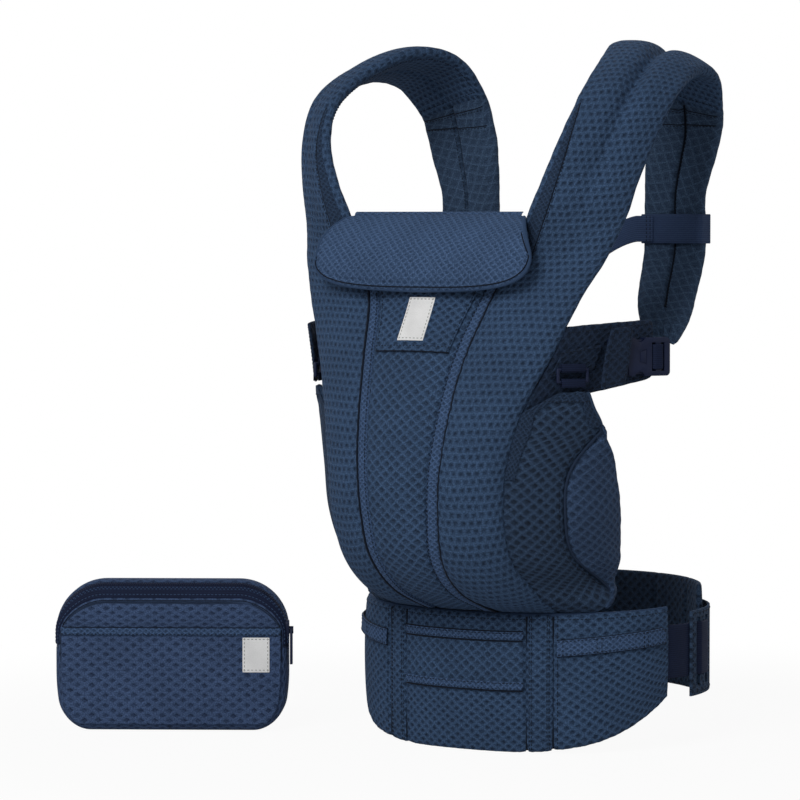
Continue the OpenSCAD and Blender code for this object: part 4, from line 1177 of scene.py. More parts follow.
class CARRIER_OT_body(PieceOperator, bpy.types.Operator):
    """Make the centre panel, its bindings, the pocket flap and the bare label"""
    bl_idname = "carrier.body"
    bl_label = "Body panel"

    def make(self, context):
        def across(u, v):
            h = lerp(FOOT, PANEL_TOP, v)
            w = panel_half(h)
            return on_bucket(lerp(-w, w, u), h)

        panel = Pad(across, swell(PANEL_T, EDGE_T, 0.5), puckers(0.3, 24, 90, 11, 0.1))
        soft("centre_front", panel, (80, 240), "mesh_centre", "centre_panel", 0.5)
        self.bindings()
        self.seam_allowances()
        self.flap(panel)

    def bindings(self):
        def strip(u, v):
            h = lerp(FOOT, BINDING_TOP, v)
            w = panel_half(h) + 0.3
            return on_bucket(lerp(w, w + BINDING_W - 0.3, u), h)

        band = Pad(strip, lambda u, v: 6.4 + 2.0 * np.clip(np.sin(np.pi * u), 0, 1) ** 0.6,
                   puckers(0.3, 3, 120, 15, 0.3))
        piece = pair("binding_pair", [band.mesh("binding", (14, 260))], "mesh_small", "bindings")
        stitches("binding_stitches", both([seam_line(band, 0.12, (0.01, 0.96), lift=0.1, count=260)]))
        # painted shade: a dark cord in the deep seam between each binding and its strap
        h = np.linspace(FOOT + 2, BINDING_TOP - 6, 240)
        x = strap_in(h) - 0.6 + 0.7 * ripple(h * 0.16, h * 0.37, 17)
        p = on_bucket(x, h)
        out = unit(np.cross(on_bucket(x + 1, h) - p, on_bucket(x, h + 1) - p))
        piping("binding_seams", both([(p + out * 3.3, out)]), 0.0012)

    def seam_allowances(self):
        """The turned-in edges of the cloth, which close the seams from behind."""
        def tape(middle, top):
            def surface(u, v):
                h = lerp(FOOT, top, v)
                return on_bucket(middle(h) + (u - 0.5) * ALLOWANCE_W, h)
            return Pad(surface, even(CLOTH_T))

        def foot(u, v):
            h = lerp(FOOT - 3, FOOT + 12, v)
            return bucket(lerp(-1, 1, u) * (leg_edge(h) - 2), h)

        def corner(u, v):
            # from the panel's corner to the inner edge of the strap
            h = lerp(330, BODY_H - 1, v)
            b = spot(np.interp(h, [326, 362], [92, 108]), -120.5, BELT_H + h)
            return lerp(on_bucket(panel_half(h) - 4, h), b, u[..., None])

        def under_roll(u, v):
            x = lerp(-1, 1, u) * (REST_W / 2 - 3)
            return lerp(on_bucket(x * 0.93, BODY_H - 9 + 0 * v), spot(x, HINGE_Y, HINGE_Z), v[..., None])

        sides = [tape(panel_half, BINDING_TOP + 2), tape(strap_in, BINDING_TOP + 2), tape(strap_out, SEAT_TOP),
                 Pad(corner, even(CLOTH_T))]
        middle = [Pad(foot, even(CLOTH_T)), Pad(under_roll, even(1.0))]
        piece = pair("seam_allowances", [edge.mesh("edge", (6, 120), 1) for edge in sides], "mesh_edge",
                     middle=[edge.mesh("edge", (160, 6), 1) for edge in middle])
        size = 2 * sum(edge.area() for edge in sides) + sum(edge.area() for edge in middle)

    def flap(self, panel):
        """The pocket's flap with its hem, and the bare label on it."""
        def across(u, v):
            h = lerp(FLAP_LOW, FLAP_TOP, v)
            w = panel_half(h) - FLAP_INSET
            share = lerp(-w, w, u) / (2 * panel_half(h)) + 0.5
            return panel.skin(share, (h - FOOT) / (PANEL_TOP - FOOT), 1, 1.3)[0]

        sheet = Pad(across, lambda u, v: 1.3 + 1.5 * bell(v, 0.03, 0.035))
        piece = place("pocket_flap_cloth", sheet.mesh("pocket_flap_cloth", (60, 60)), "mesh_diagonal",
                      "pocket_flap")
        lines = [seam_line(sheet, (0.01, 0.99), 0.075, lift=0.1)]
        lines += [seam_line(sheet, u, (0.02, 0.98), lift=0.1) for u in (0.02, 0.98)]
        stitches("pocket_flap_stitches", lines)
        # painted shadow: a dark cord tucked under the flap's lower edge
        piping("pocket_flap_edge", [seam_line(sheet, (0.0, 1.0), 0.004, lift=-0.7, count=80)], 0.0007)

        def tag(u, v):
            h = FLAP_LOW + 9 + LABEL_L * v
            x = lerp(-LABEL_W, LABEL_W, u) / 2 - 2
            share = np.clip(x / (2 * (panel_half(h) - FLAP_INSET)) + 0.5, 0, 1)
            return sheet.skin(share, (h - FLAP_LOW) / (FLAP_TOP - FLAP_LOW), 1, 0.5)[0]

        card = Pad(tag, even(0.7))
        piece = place("body_label_cloth", card.mesh("body_label_cloth", (24, 34)), "label", "body_label")
        stitches("body_label_stitches", hem_lines(card, 0.07, 0.05, 30), thread="thread_label")


def seat_inner(h):
    edge = bucket_angle(strap_out(h) + 2 * GAP, h)
    slant = lerp(edge, 52, (h - SEAT_SHOULDER) / (SEAT_TOP - SEAT_SHOULDER))
    return np.where(h < SEAT_SHOULDER, edge, slant)


def seat_outer(h):
    rim = leg_edge(h) - 1
    return np.where(h > THIGH_TOP, rim, np.minimum(curve_at(THIGH_SEAM, h) - GAP_ANGLE, rim))


class CARRIER_OT_seat(PieceOperator, bpy.types.Operator):
    """Make the seat's side panels and padded thigh edges"""
    bl_idname = "carrier.seat"
    bl_label = "Seat"

    def make(self, context):
        def side(u, v):
            h = lerp(FOOT, SEAT_TOP, v)
            return bucket(lerp(seat_inner(h), seat_outer(h), u), h)

        def thigh(u, v):
            h = lerp(FOOT + 4, THIGH_TOP, v)
            return bucket(lerp(thigh_seam(h, 4 * GAP_ANGLE), leg_edge(h), u), h)

        panel = Pad(side, swell(SEAT_T, 3, 0.5), puckers(0.5, 18, 40, 21, 0.2))
        soft("right_seat_side", panel, (60, 130), "mesh_dark", "right_seat_panel", 0.5, "dark_mesh")
        pad = Pad(thigh, swell(THIGH_T, 7, 0.42), puckers(0.6, 16, 44, 23, 0.25))
        soft("right_thigh_cushion", pad, (50, 130), "mesh_thigh", "right_thigh_pad", 0.7, "dark_mesh")
        stitches("seat_stitches", both([seam_line(panel, 0.9, (0.12, 0.8), lift=0.05, count=160)]))
        self.binding_strips(panel)
        # binding down the leg opening's edge, and piping along the thigh pad's curved seam
        h = np.linspace(FOOT + 5, SEAT_TOP - 1, 160)
        leg = bucket(leg_edge(h) - 0.6, h)
        piping("leg_edge_binding", both([(leg, np.array([1.0, 0, 0]))]), 0.0026, "mesh_dark")
        h = np.linspace(FOOT + 8, THIGH_TOP - 1, 150)
        a = thigh_seam(h, 3 * GAP_ANGLE) - 0.8 * smooth(THIGH_TOP - 28, THIGH_TOP, h)
        out = unit(bucket(a, h) - spot(0, 20, BELT_H + h))
        piping("thigh_seam_piping", both([(bucket(a, h) + out * 4.2, out)]), 0.0013, "mesh_under")

    def binding_strips(self, panel):
        """Flat strips of binding along the panel's top and its two slanting edges."""
        def at(h):
            return (h - FOOT) / (SEAT_TOP - FOOT)

        strips = [Pad(lambda a, b: panel.skin(lerp(0.01, 0.99, a), lerp(at(SEAT_TOP - 9), 0.999, b), 1, 0.5)[0],
                      even(1.6))]
        for near, far, start in ((0.0, 0.16, at(SEAT_SHOULDER - 60)), (0.83, 1.0, at(THIGH_TOP - 1))):
            strips.append(Pad(lambda a, b, near=near, far=far, start=start: panel.skin(
                lerp(near, far, b), lerp(start, 0.995, a), 1, 0.6)[0], even(1.6)))
        piece = pair("seat_binding_strips", [strip.mesh("strip", (50, 8)) for strip in strips], "mesh_edge")
        size = sum(strip.area() for strip in strips) * 2
        lines = [seam_line(strips[0], (0.02, 0.98), 0.1, lift=0.1),
                 seam_line(strips[1], (0.02, 0.9), 0.9, lift=0.1),
                 seam_line(strips[2], (0.05, 0.9), 0.1, lift=0.1, count=60)]
        stitches("seat_strip_stitches", both(lines))


def strap_thickness(full, edge, start, end):
    """Thickness of a strap piece, whose two ends keep a share of their fullness."""
    def thickness(u, v):
        body = np.clip(1 - np.abs(2 * u - 1) ** 2.6, 0, 1) ** 0.45
        low = lerp(start, 1, np.sin(np.pi / 2 * np.clip(8 * v, 0, 1)))
        high = lerp(end, 1, np.sin(np.pi / 2 * np.clip(10 * (1 - v), 0, 1)))
        return edge + (full - edge) * body * low * high
    return thickness


# the side panel's seam lies between these shares of the front piece's length
GUSSET_LOW, GUSSET_HIGH = STRAP_ROWS[8][0] / CROSS_SEAM, STRAP_ROWS[12][0] / CROSS_SEAM


def gusset(v):
    """Where the seam of the strap's inner side panel lies across it."""
    share = np.clip((GUSSET_HIGH - v) / (GUSSET_HIGH - GUSSET_LOW), 0, 1)
    return 0.2 * share ** 0.8 * smooth(GUSSET_LOW - 0.05, GUSSET_LOW, v)


class CARRIER_OT_straps(PieceOperator, bpy.types.Operator):
    """Make the two padded shoulder straps, front and back"""
    bl_idname = "carrier.straps"
    bl_label = "Shoulder straps"

    def make(self, context):
        front = Pad(strap_piece(0, CROSS_SEAM + 2.5), strap_thickness(STRAP_T, EDGE_T, 0.0, 0.55), self.crease)
        soft("right_strap_front_pad", front, (56, 420), "mesh", "right_strap_front", 0.6)
        self.side_panel(front)
        back = Pad(strap_piece(CROSS_SEAM - 2.5, STRAP_L), strap_thickness(STRAP_BACK_T, EDGE_T, 0.8, 0.25),
                   self.groove)
        soft("right_strap_back_pad", back, (56, 220), "mesh_back", "right_strap_back", 0.55)
        lines = []
        for side in (1, -1):
            lines.append(seam_line(back, 0.56, (0.03, 0.86), side, count=160))
            lines += [seam_line(back, (0.06, 0.94), v, side, count=50) for v in (0.045, 0.1)]
            lines.append(seam_line(front, (0.06, 0.94), 0.985, side, count=50))
        lines.append(seam_line(front, lambda t: gusset(lerp(GUSSET_LOW, GUSSET_HIGH, t)) + 0.03,
                               (GUSSET_LOW, lerp(GUSSET_LOW, GUSSET_HIGH, 0.9)), 1, count=160))
        lines.append(seam_line(front, 0.06, (0.02, 0.97), -1, count=400))
        stitches("strap_stitches", both(lines))
        # painted shade: dark cords along the back strap's lapped seam and its seams across the foot
        overlap = [seam_line(back, 0.513, (0.02, 0.84), side, lift=0.9, count=160) for side in (1, -1)]
        cross = [seam_line(back, (0.03, 0.97), v, side, lift=0.0, count=60)
                 for v in (0.035, 0.095) for side in (1, -1)]
        piping("strap_back_seams", both(overlap), 0.0009)
        piping("strap_cross_seams", both(cross), 0.0005)

    @staticmethod
    def crease(u, v, side):
        """The strap folds along its middle where it bends over the shoulder, outside more than inside."""
        fold = smooth(0.55, 0.80, v) * (1 - 0.25 * smooth(0.95, 1.0, v))
        gathers = 0.8 * ripple(u * 44 + 6 * v, v * 150, 31 + side)
        near = bell(u, 0.5, 0.2) * smooth(0.46, 0.58, v) * (1 - smooth(0.72, 0.9, v))
        seam = gusset(v)
        bend = 11.0 * np.clip((seam - u) / 0.26, 0, 1) * side
        if side > 0:
            width = lerp(0.13, 0.075, smooth(0.55, 0.85, v))
            deep = 9.0 * fold * np.exp(-np.abs((u - 0.5) / width) ** 1.6)
            lobes = 0.8 * fold * (bell(u, 0.27, 0.13) + bell(u, 0.73, 0.13))
            sewn = 1.6 * bell(u, seam, 0.016) * np.clip(seam / 0.05, 0, 1)
        else:
            deep, lobes, sewn = 1.8 * fold * bell(u, 0.5, 0.06), 0.0, 0.0
        puckered = 0.4 * ripple(u * 12, v * 160, 33) * near_edge(u, 0.2)
        return gathers * near - deep + lobes - bend - sewn + puckered

    @staticmethod
    def groove(u, v, side):
        """The back strap's lapped seam, and the gathers at its foot."""
        fade = 1 - smooth(0.78, 0.9, v)
        line = (-4.2 * bell(u, 0.52, 0.022) + 2.2 * (1 - smooth(0.47, 0.5, u)) * np.clip(8 * u, 0, 1)) * fade
        ends = 1.6 * np.sin(u * 26 + 5 * v) * smooth(0.84, 0.97, v) * np.sin(np.pi * u)
        return line + ends + 0.35 * ripple(u * 10, v * 80, 37) * near_edge(u, 0.2)

    def side_panel(self, front):
        """The flat panel along the strap's inner side, as far as the gusset's seam."""
        reach = lerp(GUSSET_LOW, GUSSET_HIGH, 0.93)

        def across(a, b):
            v = lerp(GUSSET_LOW, reach, b)
            return front.skin(lerp(0.0, gusset(v) + 0.004, a), v, 1, 0.4)[0]

        panel = Pad(across, even(0.8))
        area = panel.area()
        for piece in sided("right_strap_side", panel.mesh("right_strap_side", (10, 140), 2), "mesh_edge"):
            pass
        # painted shade: a dark cord along the side panel's seam
        v = np.linspace(GUSSET_LOW, reach, 160)
        piping("strap_side_seams", both([front.skin(gusset(v) + 0.006, v, 1, 0.2)]), 0.0007)


class CARRIER_OT_headrest(PieceOperator, bpy.types.Operator):
    """Make the padded headrest, its piping and its rolled hinge"""
    bl_idname = "carrier.headrest"
    bl_label = "Headrest"

    def make(self, context):
        gathers = puckers(0.35, 60, 20, 41, 0.12)
        pillow = Pad(lambda u, v: rest_point(u, 1 - v), swell(REST_T, 4, 0.45),
                     lambda u, v, side: gathers(u, v, side) - 1.3 * bell(v, 0.075, 0.02))
        [cushion] = soft("headrest_pillow", pillow, (120, 60), "mesh_fine", "headrest", 0.7, body="headrest")
        cloth_of(cushion.data,
                 lambda p: spot(p[:, 0], 1.15 * np.hypot(p[:, 1] - HINGE_Y, p[:, 2] - HINGE_Z), 0))
        self.lip(pillow, context.scene.carrier_sewing.piping)
        self.root()
        self.roll()

    def lip(self, pillow, radius):
        """The piping round the lip stands clear of the pillow, and a dark cord above it paints the shade of the
        seam.
        """
        u = np.concatenate([np.full(50, 0.002), np.linspace(0.002, 0.998, 180), np.full(50, 0.998)])
        v = np.concatenate([np.linspace(0.97, 0.02, 50), np.full(180, 0.004), np.linspace(0.02, 0.97, 50)])
        run = pillow.surface(u, v)
        away = unit(run - pillow.surface(lerp(u, 0.5, 0.06), lerp(v, 0.5, 0.06)))
        for _ in range(12):
            run[1:-1] = (run[:-2] + run[1:-1] * 2 + run[2:]) / 4
        low = (v < 0.5) & ((u > 0.01) | (v < 0.1))
        # painted shade: a dark cord on the pillow just above the piping
        seam = pillow.skin(lerp(u[low], 0.5, 0.012), lerp(v[low], 0.5, 0.05), 1, 0.3)
        piping("headrest_seam", [seam], 0.0006, body="headrest")
        piping("headrest_piping", [(run + away * 1.4 + np.array([0, -1.2, 0.2]), away)], 1.1 * radius,
               "mesh_fine_lip", "headrest")

    def root(self):
        """The pillow's own cloth runs on round the roll."""
        def wrap(u, v):
            a = np.radians(lerp(-20, 75, v))
            r = HINGE_R + 0.95
            return spot(lerp(-1, 1, u) * (REST_W / 2 + 1), HINGE_Y - r * np.cos(a), HINGE_Z + r * np.sin(a))

        place("headrest_root", Pad(wrap, even(0.8)).mesh("headrest_root", (160, 12), 1), "mesh_fine",
              body="headrest")

    def roll(self):
        """The roll that the headrest turns about, thinner towards its ends."""
        count, turns = 120, 20
        x = np.linspace(-1, 1, count)[:, None]
        r = (HINGE_R - 0.15) * np.clip(1 - np.abs(x) ** 9, 0.02, 1) ** 0.5
        a = np.linspace(0, 2 * np.pi, turns, endpoint=False)
        points = spot(x * (REST_W / 2 - 1), HINGE_Y + r * np.cos(a), HINGE_Z + r * np.sin(a))
        marks = spot(x * REST_W / 2, HINGE_R * a + 0 * x, 0)
        rings = np.arange(count * turns).reshape(count, turns).tolist()
        faces = walls(rings) + [rings[0], rings[-1][::-1]]
        mesh = outward(new_mesh("headrest_roll", points.reshape(-1, 3), faces, marks.reshape(-1, 3)))
        place("headrest_roll", mesh, "mesh_fine", "headrest_hinge")


SLIM_LENGTH, LADDER = 45, 18


class CARRIER_OT_underarm(PieceOperator, bpy.types.Operator):
    """Make the underarm pads, their outer layers, webs, rings and shoulder buckles"""
    bl_idname = "carrier.underarm"
    bl_label = "Underarm pads and shoulder buckles"

    def make(self, context):
        whole = np.linalg.norm(PAD_END - pad_root(PAD_MID))
        cover_out = (ARM_PAD_T + ARM_COVER_T) / 2 + GAP

        def inner(u, v):
            corner = 1 - 0.09 * (1 - np.sqrt(np.clip(1 - np.clip((u - 0.93) / 0.07, 0, 1) ** 2, 0, 1)))
            lower = 0.16 * (1 - smooth(0, 0.5, u)) * (1 - v)
            return pad_point(u, 0.5 + (v - 0.5) * corner - lower, 0)

        def cover(u, v):
            h = 0.05 + 0.9 * v
            own = np.linalg.norm(PAD_END - pad_root(PAD_LOW + ARM_PAD_H * h), axis=-1)
            w = lerp(COVER_START, COVER_SHARE, u)
            w = 1 - (1 - w) * lerp(1, whole / own, 0.8) + 0.02 * np.sin(np.pi * v) * (u - 0.5)
            return pad_point(w, h, cover_out + 13 - 3 * (1 - w / COVER_SHARE) ** 2)

        def web(u, v):
            return pad_point(lerp(0.05, COVER_START, u), 0.53 + (v - 0.5) * THIN_WEB / ARM_PAD_H,
                             (ARM_PAD_T + WEB_T) / 2 + GAP)

        pad = Pad(inner, swell(ARM_PAD_T, 3, 0.35), puckers(0.3, 20, 14, 51))
        soft("right_underarm", pad, (80, 56), "mesh_under", "right_arm_pad", 0.4, "dark_mesh")
        layer = Pad(cover, swell(ARM_COVER_T, 2.4, 0.35), puckers(0.25, 10, 14, 53))
        soft("right_underarm_cover", layer, (44, 56), "mesh_under", "right_arm_cover", 0.4, "dark_mesh")
        lines = [seam_line(layer, u, (0.04, 0.96), lift=0.1, count=50) for u in (0.12, 0.9)]
        lines += [seam_line(layer, (0.08, 0.92), v, lift=0.1, count=60) for v in (0.07, 0.93)]
        lines += [seam_line(pad, (0.04, 0.97), v, lift=0.1, count=100) for v in (0.06, 0.94)]
        stitches("underarm_stitches", both(lines))
        band = Pad(web, even(WEB_T))
        pair("arm_webbing_pair", [band.mesh("arm_web", (60, 12), 2)], "mesh_under", "arm_webs")
        lines = [seam_line(band, (0.02, 0.98), v, lift=0.05, count=80) for v in (0.1, 0.9)]
        stitches("arm_web_stitches", both(lines))
        folds = moulded("ring_webs", "webbing", 0.3)
        cloth_of(folds.data, lambda p: p[:, [0, 2, 1]])
        moulded("seat_rings", width=0.2)
        buckle("right")
        buckle("left")
        self.links(whole)

    def links(self, whole):
        """The webbing round each buckle's ladder, and from each buckle to the end of its strap."""
        mid = pad_root(PAD_MID)
        d = (PAD_END - mid) / whole
        out = np.array([d[1], -d[0]])
        housing = bpy.data.objects["right_housing"]
        points = np.array([housing.matrix_world @ v.co for v in housing.data.vertices]) / MM
        reach, stand_out = points[:, :2] @ d, points[:, :2] @ out
        far = reach.max()
        ladder = reach > far - LADDER
        level = (points[ladder, 2].max() + points[ladder, 2].min()) / 2
        face = stand_out[ladder].max()

        def fold(u, v):
            s = far - lerp(7.4, 18.4, u)
            lift = face + 0.9 - 3.2 * np.abs(2 * u - 1) ** 5
            return spot(s * d[0] + lift * out[0], s * d[1] + lift * out[1], level + (v - 0.5) * (THIN_WEB - 2))

        along = COVER_SHARE * whole + 3 + SLIM_LENGTH + 1.5
        off = ARM_PAD_T / 2 + 3.5 + GAP + 4.5
        start = np.append(mid + d * along + out * off, BELT_H + PAD_MID + 8)
        tip = strap_point(np.array(STRAP_L), np.array(0.5)) + np.array([2.4, -3.6, -1.2])

        def link(u, v):
            return lerp(start, tip, np.asarray(u)[..., None]) + spot(0, 0, (v - 0.5) * THIN_WEB * (1 - 0.3 * u))

        webbing("right_ladder_webbing", fold, (24, 12), body="right_clip")
        webbing("right_link_webbing", link, (16, 12), "right_link_web", ("carrier", "right_clip", tip, start))


class CARRIER_OT_chest_strap(PieceOperator, bpy.types.Operator):
    """Make the chest strap with its loops and buckle"""
    bl_idname = "carrier.chest_strap"
    bl_label = "Chest strap"

    def make(self, context):
        z, clear, r = BELT_H + CHEST_H, 1, 4.0
        front = BACK_Y - (STRAP_BACK_T / 2 + clear)
        x0, x1 = BACK_X - clear - WEB_T / 2, BACK_X + BACK_W + clear + WEB_T / 2
        y0, y1 = front - WEB_T / 2, BACK_Y + STRAP_BACK_T / 2 + CROWN + clear + WEB_T / 2
        path = []
        for cx, cy, a0 in ((x0 + r, y0 + r, 180), (x1 - r, y0 + r, 270), (x1 - r, y1 - r, 0),
                           (x0 + r, y1 - r, 90)):
            a = np.radians(a0 + 90 * np.arange(9) / 8)
            path.append(np.stack([cx + r * np.cos(a), cy + r * np.sin(a)], 1))
        path = np.concatenate(path + [path[0][:1]])
        keys = run_of(path)
        keys /= keys[-1]

        def ring(u, v):
            return spot(np.interp(u, keys, path[:, 0]), np.interp(u, keys, path[:, 1]),
                        z + (v - 0.5) * (THIN_WEB + 3))

        def hang(start):
            def surface(u, v):
                x = lerp(start, BACK_X + 13, u)
                free = np.clip((BACK_X - 4 - x) / (BACK_X - 4 - start), 0, 1)
                lift = WEB_T * 1.02 * smooth(BACK_X - 16, BACK_X - 3, x)
                return spot(x, front - WEB_T / 2 - lift, z - CHEST_SAG * free ** 1.6 + (v - 0.5) * THIN_WEB)
            return Pad(surface, even(WEB_T))

        pair("chest_loop_pair", [Pad(ring, even(WEB_T)).mesh("loop", (200, 14), 2)], "webbing_painted_lighter",
             "chest_loops", "chest_strap")
        lines = [(spot(x, y0 - WEB_T * 1.5 - 0.2, z + np.linspace(-11, 11, 12)), np.array([0, -1.0, 0]))
                 for x in (x0 + 8, x0 + 12)]
        stitches("chest_loop_stitches", both(lines), "chest_strap")
        place("chest_webbing_right", hang(CHEST_HALF + 4).mesh("chest_webbing_right", (60, 12), 2),
              "webbing_painted_lighter", "chest_web_right", "chest_strap")
        mesh = mirrored(hang(CHEST_HALF).mesh("chest_webbing_left", (60, 12), 2), "chest_webbing_left")
        place("chest_webbing_left", mesh, "webbing_painted_lighter", "chest_web_left",
              ("chest_strap", "chest_clip", (4 - BACK_X, front, z), (-CHEST_HALF, front, z)))
        buckle("chest")


FACE_INSET, POCKET_INSET, ZIP_Y, TAPE_W, ZIP_FOOT = 6.0, 6.5, -POUCH_D / 2 + 9, 8.2, 84
# how far the pouch's outline draws in near its front and its back, keyed by the distance from its middle
ROUNDING = (14, 17, 19, 20.3, 20.8), (0.4, 1.4, 3.0, 4.8, FACE_INSET)


def pouch_outline(count, inset):
    """Points round the pouch seen from the front, anticlockwise from the middle of its base."""
    w, h, r, q = POUCH_W / 2, POUCH_H, POUCH_R, POUCH_TOP_R
    points = [[(0.0, inset)]]
    for cx, cz, rad, a0 in ((w - r, r, r, 270), (w - q, h - q, q, 0), (-w + q, h - q, q, 90),
                            (-w + r, r, r, 180)):
        a = np.radians(a0 + 90 * np.arange(33) / 32)
        points.append(np.stack([cx + (rad - inset) * np.cos(a), cz + (rad - inset) * np.sin(a)], 1))
    points = np.concatenate(points + [points[0]])
    keys = run_of(points)
    t = np.linspace(0, keys[-1], count + 1)[:-1]
    return np.stack([np.interp(t, keys, points[:, 0]), np.interp(t, keys, points[:, 1])], 1)


def turned(v):
    """A direction in the pouch's own frame as it lies in the scene."""
    c, s = math.cos(math.radians(POUCH_TURN)), math.sin(math.radians(POUCH_TURN))
    v = np.asarray(v, float)
    return np.stack([c * v[..., 0] - s * v[..., 1], s * v[..., 0] + c * v[..., 1], v[..., 2]], -1)


def stand(p):
    """From the pouch's own frame to where it stands."""
    return turned(p) + np.array([*POUCH_AT, 0])


def sag(p):
    """Soften the pouch's outline: a lower front edge along the top, and a narrower foot."""
    x, y, z = p[..., 0], p[..., 1], p[..., 2]
    drop = np.interp(y, [-22, -20.5, -19.5, -18, -16, -14, -12, -10, -8, -5, 14, 18, 21],
                     [16.5, 13, 10.5, 8, 5.2, 3.2, 1.9, 1, 0.4, 0, 0, 1.5, 5])
    narrow = 1 - 0.045 * (1 - smooth(0, 62, z)) ** 1.5
    return spot(x * narrow, y, z - drop * smooth(72, POUCH_H - 6, z))


def pouch_face(x, z):
    """How far the pouch's front stands out at a place on it."""
    a = np.clip(np.abs(x) / (POUCH_W / 2 - 4), 0, 1)
    b = np.clip(np.abs(z - POUCH_H / 2) / (POUCH_H / 2 - 2), 0, 1)
    edge = np.clip(1 - (a ** 6 + b ** 6), 0, 1) ** 0.5
    return POUCH_D / 2 - 2.2 + 2.0 * edge + 0.35 * ripple(x * 0.05, z * 0.07, 61) * edge


def front_skin(x, z, lift):
    """A point on the softened front, where x and z are those of the plain outline."""
    return stand(sag(spot(x, -pouch_face(x, z), z)) + np.array([0, -1.0, 0.12]) * lift)


class CARRIER_OT_pouch(PieceOperator, bpy.types.Operator):
    """Make the zipped pouch with its pocket, zip and bare label"""
    bl_idname = "carrier.pouch"
    bl_label = "Pouch"

    def make(self, context):
        self.shell()
        self.pocket()
        self.label()
        self.zipper()

    def shell(self):
        """The pouch's body: its front, the wall with a slit for the zip, and its back."""
        count, rings = 240, 26
        points, cloth = [], []
        centre = np.array([0.0, POUCH_H / 2])
        rim = pouch_outline(count, FACE_INSET)
        shares = np.maximum(np.arange(rings + 1) / rings, 0.004)

        def face_rings(side, shares):
            for share in shares:
                p = centre + (rim - centre) * share
                points.append(spot(p[:, 0], side * pouch_face(p[:, 0], p[:, 1]), p[:, 1]))
                cloth.append(spot(p[:, 0], p[:, 1], 0))

        face_rings(-1, shares)
        depths = np.array([-20.8, -20.2, -19.4, -18.4, -17.2, -16, -14.8, -13.4, -12, -10.6, -9.2, -7.5, -5, -1,
                           4, 9, 13, 16, 18.2, 19.8, 20.8])
        insets = np.interp(np.abs(depths), (0, 9) + ROUNDING[0], (0, 0) + ROUNDING[1])
        run = np.arange(count) * 2.9
        for y, inset, gone in zip(depths, insets, run_of(np.stack([depths, insets], 1))):
            slit = 2.4 * math.exp(-((y - ZIP_Y) / 4.4) ** 6)
            ring = pouch_outline(count, inset)
            ring = np.where((ring[:, 1] > ZIP_FOOT - 2)[:, None], pouch_outline(count, inset + slit), ring)
            points.append(spot(ring[:, 0], y, ring[:, 1]))
            cloth.append(spot(run, gone + 1.4 * np.interp(y, [-21, -9], [0, 14]), 0))
        face_rings(1, shares[::-1])
        rows = np.arange(len(points) * count).reshape(-1, count).tolist()
        faces = walls(rows) + [rows[0], rows[-1][::-1]]
        mesh = outward(new_mesh("pouch_body", stand(sag(np.concatenate(points))), faces, np.concatenate(cloth)))
        piece = place("pouch_body", mesh, "mesh_pouch", "pouch_shell", body="pouch")

    def pocket(self):
        """The pocket on the pouch's front with its hem, and the seams round the pouch."""
        def front_of(u, v):
            z = lerp(POCKET_INSET, POUCH_POCKET_H + 10, v)
            foot = np.sqrt(np.clip(POUCH_R**2 - (POUCH_R - z) ** 2, 0, None))
            w = POUCH_W / 2 - POCKET_INSET - np.where(z < POUCH_R, POUCH_R - foot, 0)
            return front_skin(lerp(-w, w, u), z, 0.8)

        front = Pad(front_of, even(1.3))
        piece = place("pouch_front_pocket", front.mesh("pouch_front_pocket", (130, 80)), "mesh_pouch",
                      "pouch_pocket", body="pouch")
        hem = Pad(lambda u, v: front.skin(u, lerp(0.885, 0.998, v), 1, 1.0)[0], even(1.5))
        band = place("pouch_pocket_hem", hem.mesh("pouch_pocket_hem", (130, 8)), "mesh_small", body="pouch")
        stitches("pouch_stitches", [seam_line(hem, (0.005, 0.995), 0.14, lift=0.1, count=160)], "pouch")
        # painted shadow: a dark cord under the hem's top edge
        edge = seam_line(hem, (0.005, 0.995), 1.0, lift=-0.5, count=160)
        piping("pouch_hem_edge", [edge], 0.0005, body="pouch")
        rim = pouch_outline(300, 5.6)
        rim = np.concatenate([rim, rim[:1]])
        for side, name, part in ((-1, "front", rim[rim[:, 1] > 66]), (1, "back", rim)):
            run = sag(spot(part[:, 0], side * (POUCH_D / 2 - 2.3), part[:, 1]))
            piping(f"pouch_{name}_seam", [(stand(run), turned((0, side, 0)))], 0.0004, "thread", "pouch")

    def label(self):
        card = Pad(lambda u, v: front_skin(POUCH_W / 2 - 43 + 26 * u, 57 + 38 * v, 2.1), even(0.7))
        piece = place("pouch_label_cloth", card.mesh("pouch_label_cloth", (24, 30)), "label", "pouch_label",
                      "pouch")
        stitches("pouch_label_stitches", hem_lines(card, 0.07, 0.06, 24), "pouch", "thread_label")

    def zipper(self):
        """The zip's tape lies in the slit along the top, and its coil on the tape."""
        path, outer, inner = (pouch_outline(600, inset) for inset in (1.6, 0.0, FACE_INSET))
        keep = path[:, 1] > ZIP_FOOT
        path, outer, inner = (np.roll(k, -int(np.argmax(keep)), axis=0)[:int(keep.sum())]
                              for k in (path, outer, inner))
        keys = np.linspace(0, 1, len(path))

        def along(line, u):
            return np.interp(u, keys, line[:, 0]), np.interp(u, keys, line[:, 1])

        def tape(u, v):
            x, z = along(path, u)
            return stand(sag(spot(x, ZIP_Y + (0.5 - v) * TAPE_W, z)))

        def lower_tape(u, v):
            y = lerp(15.9, 20.4, v)
            share = (np.interp(y, *ROUNDING) - 0.7) / FACE_INSET
            x, z = (lerp(a, b, share) for a, b in zip(along(outer, u), along(inner, u)))
            return stand(sag(spot(x, -y, z)))

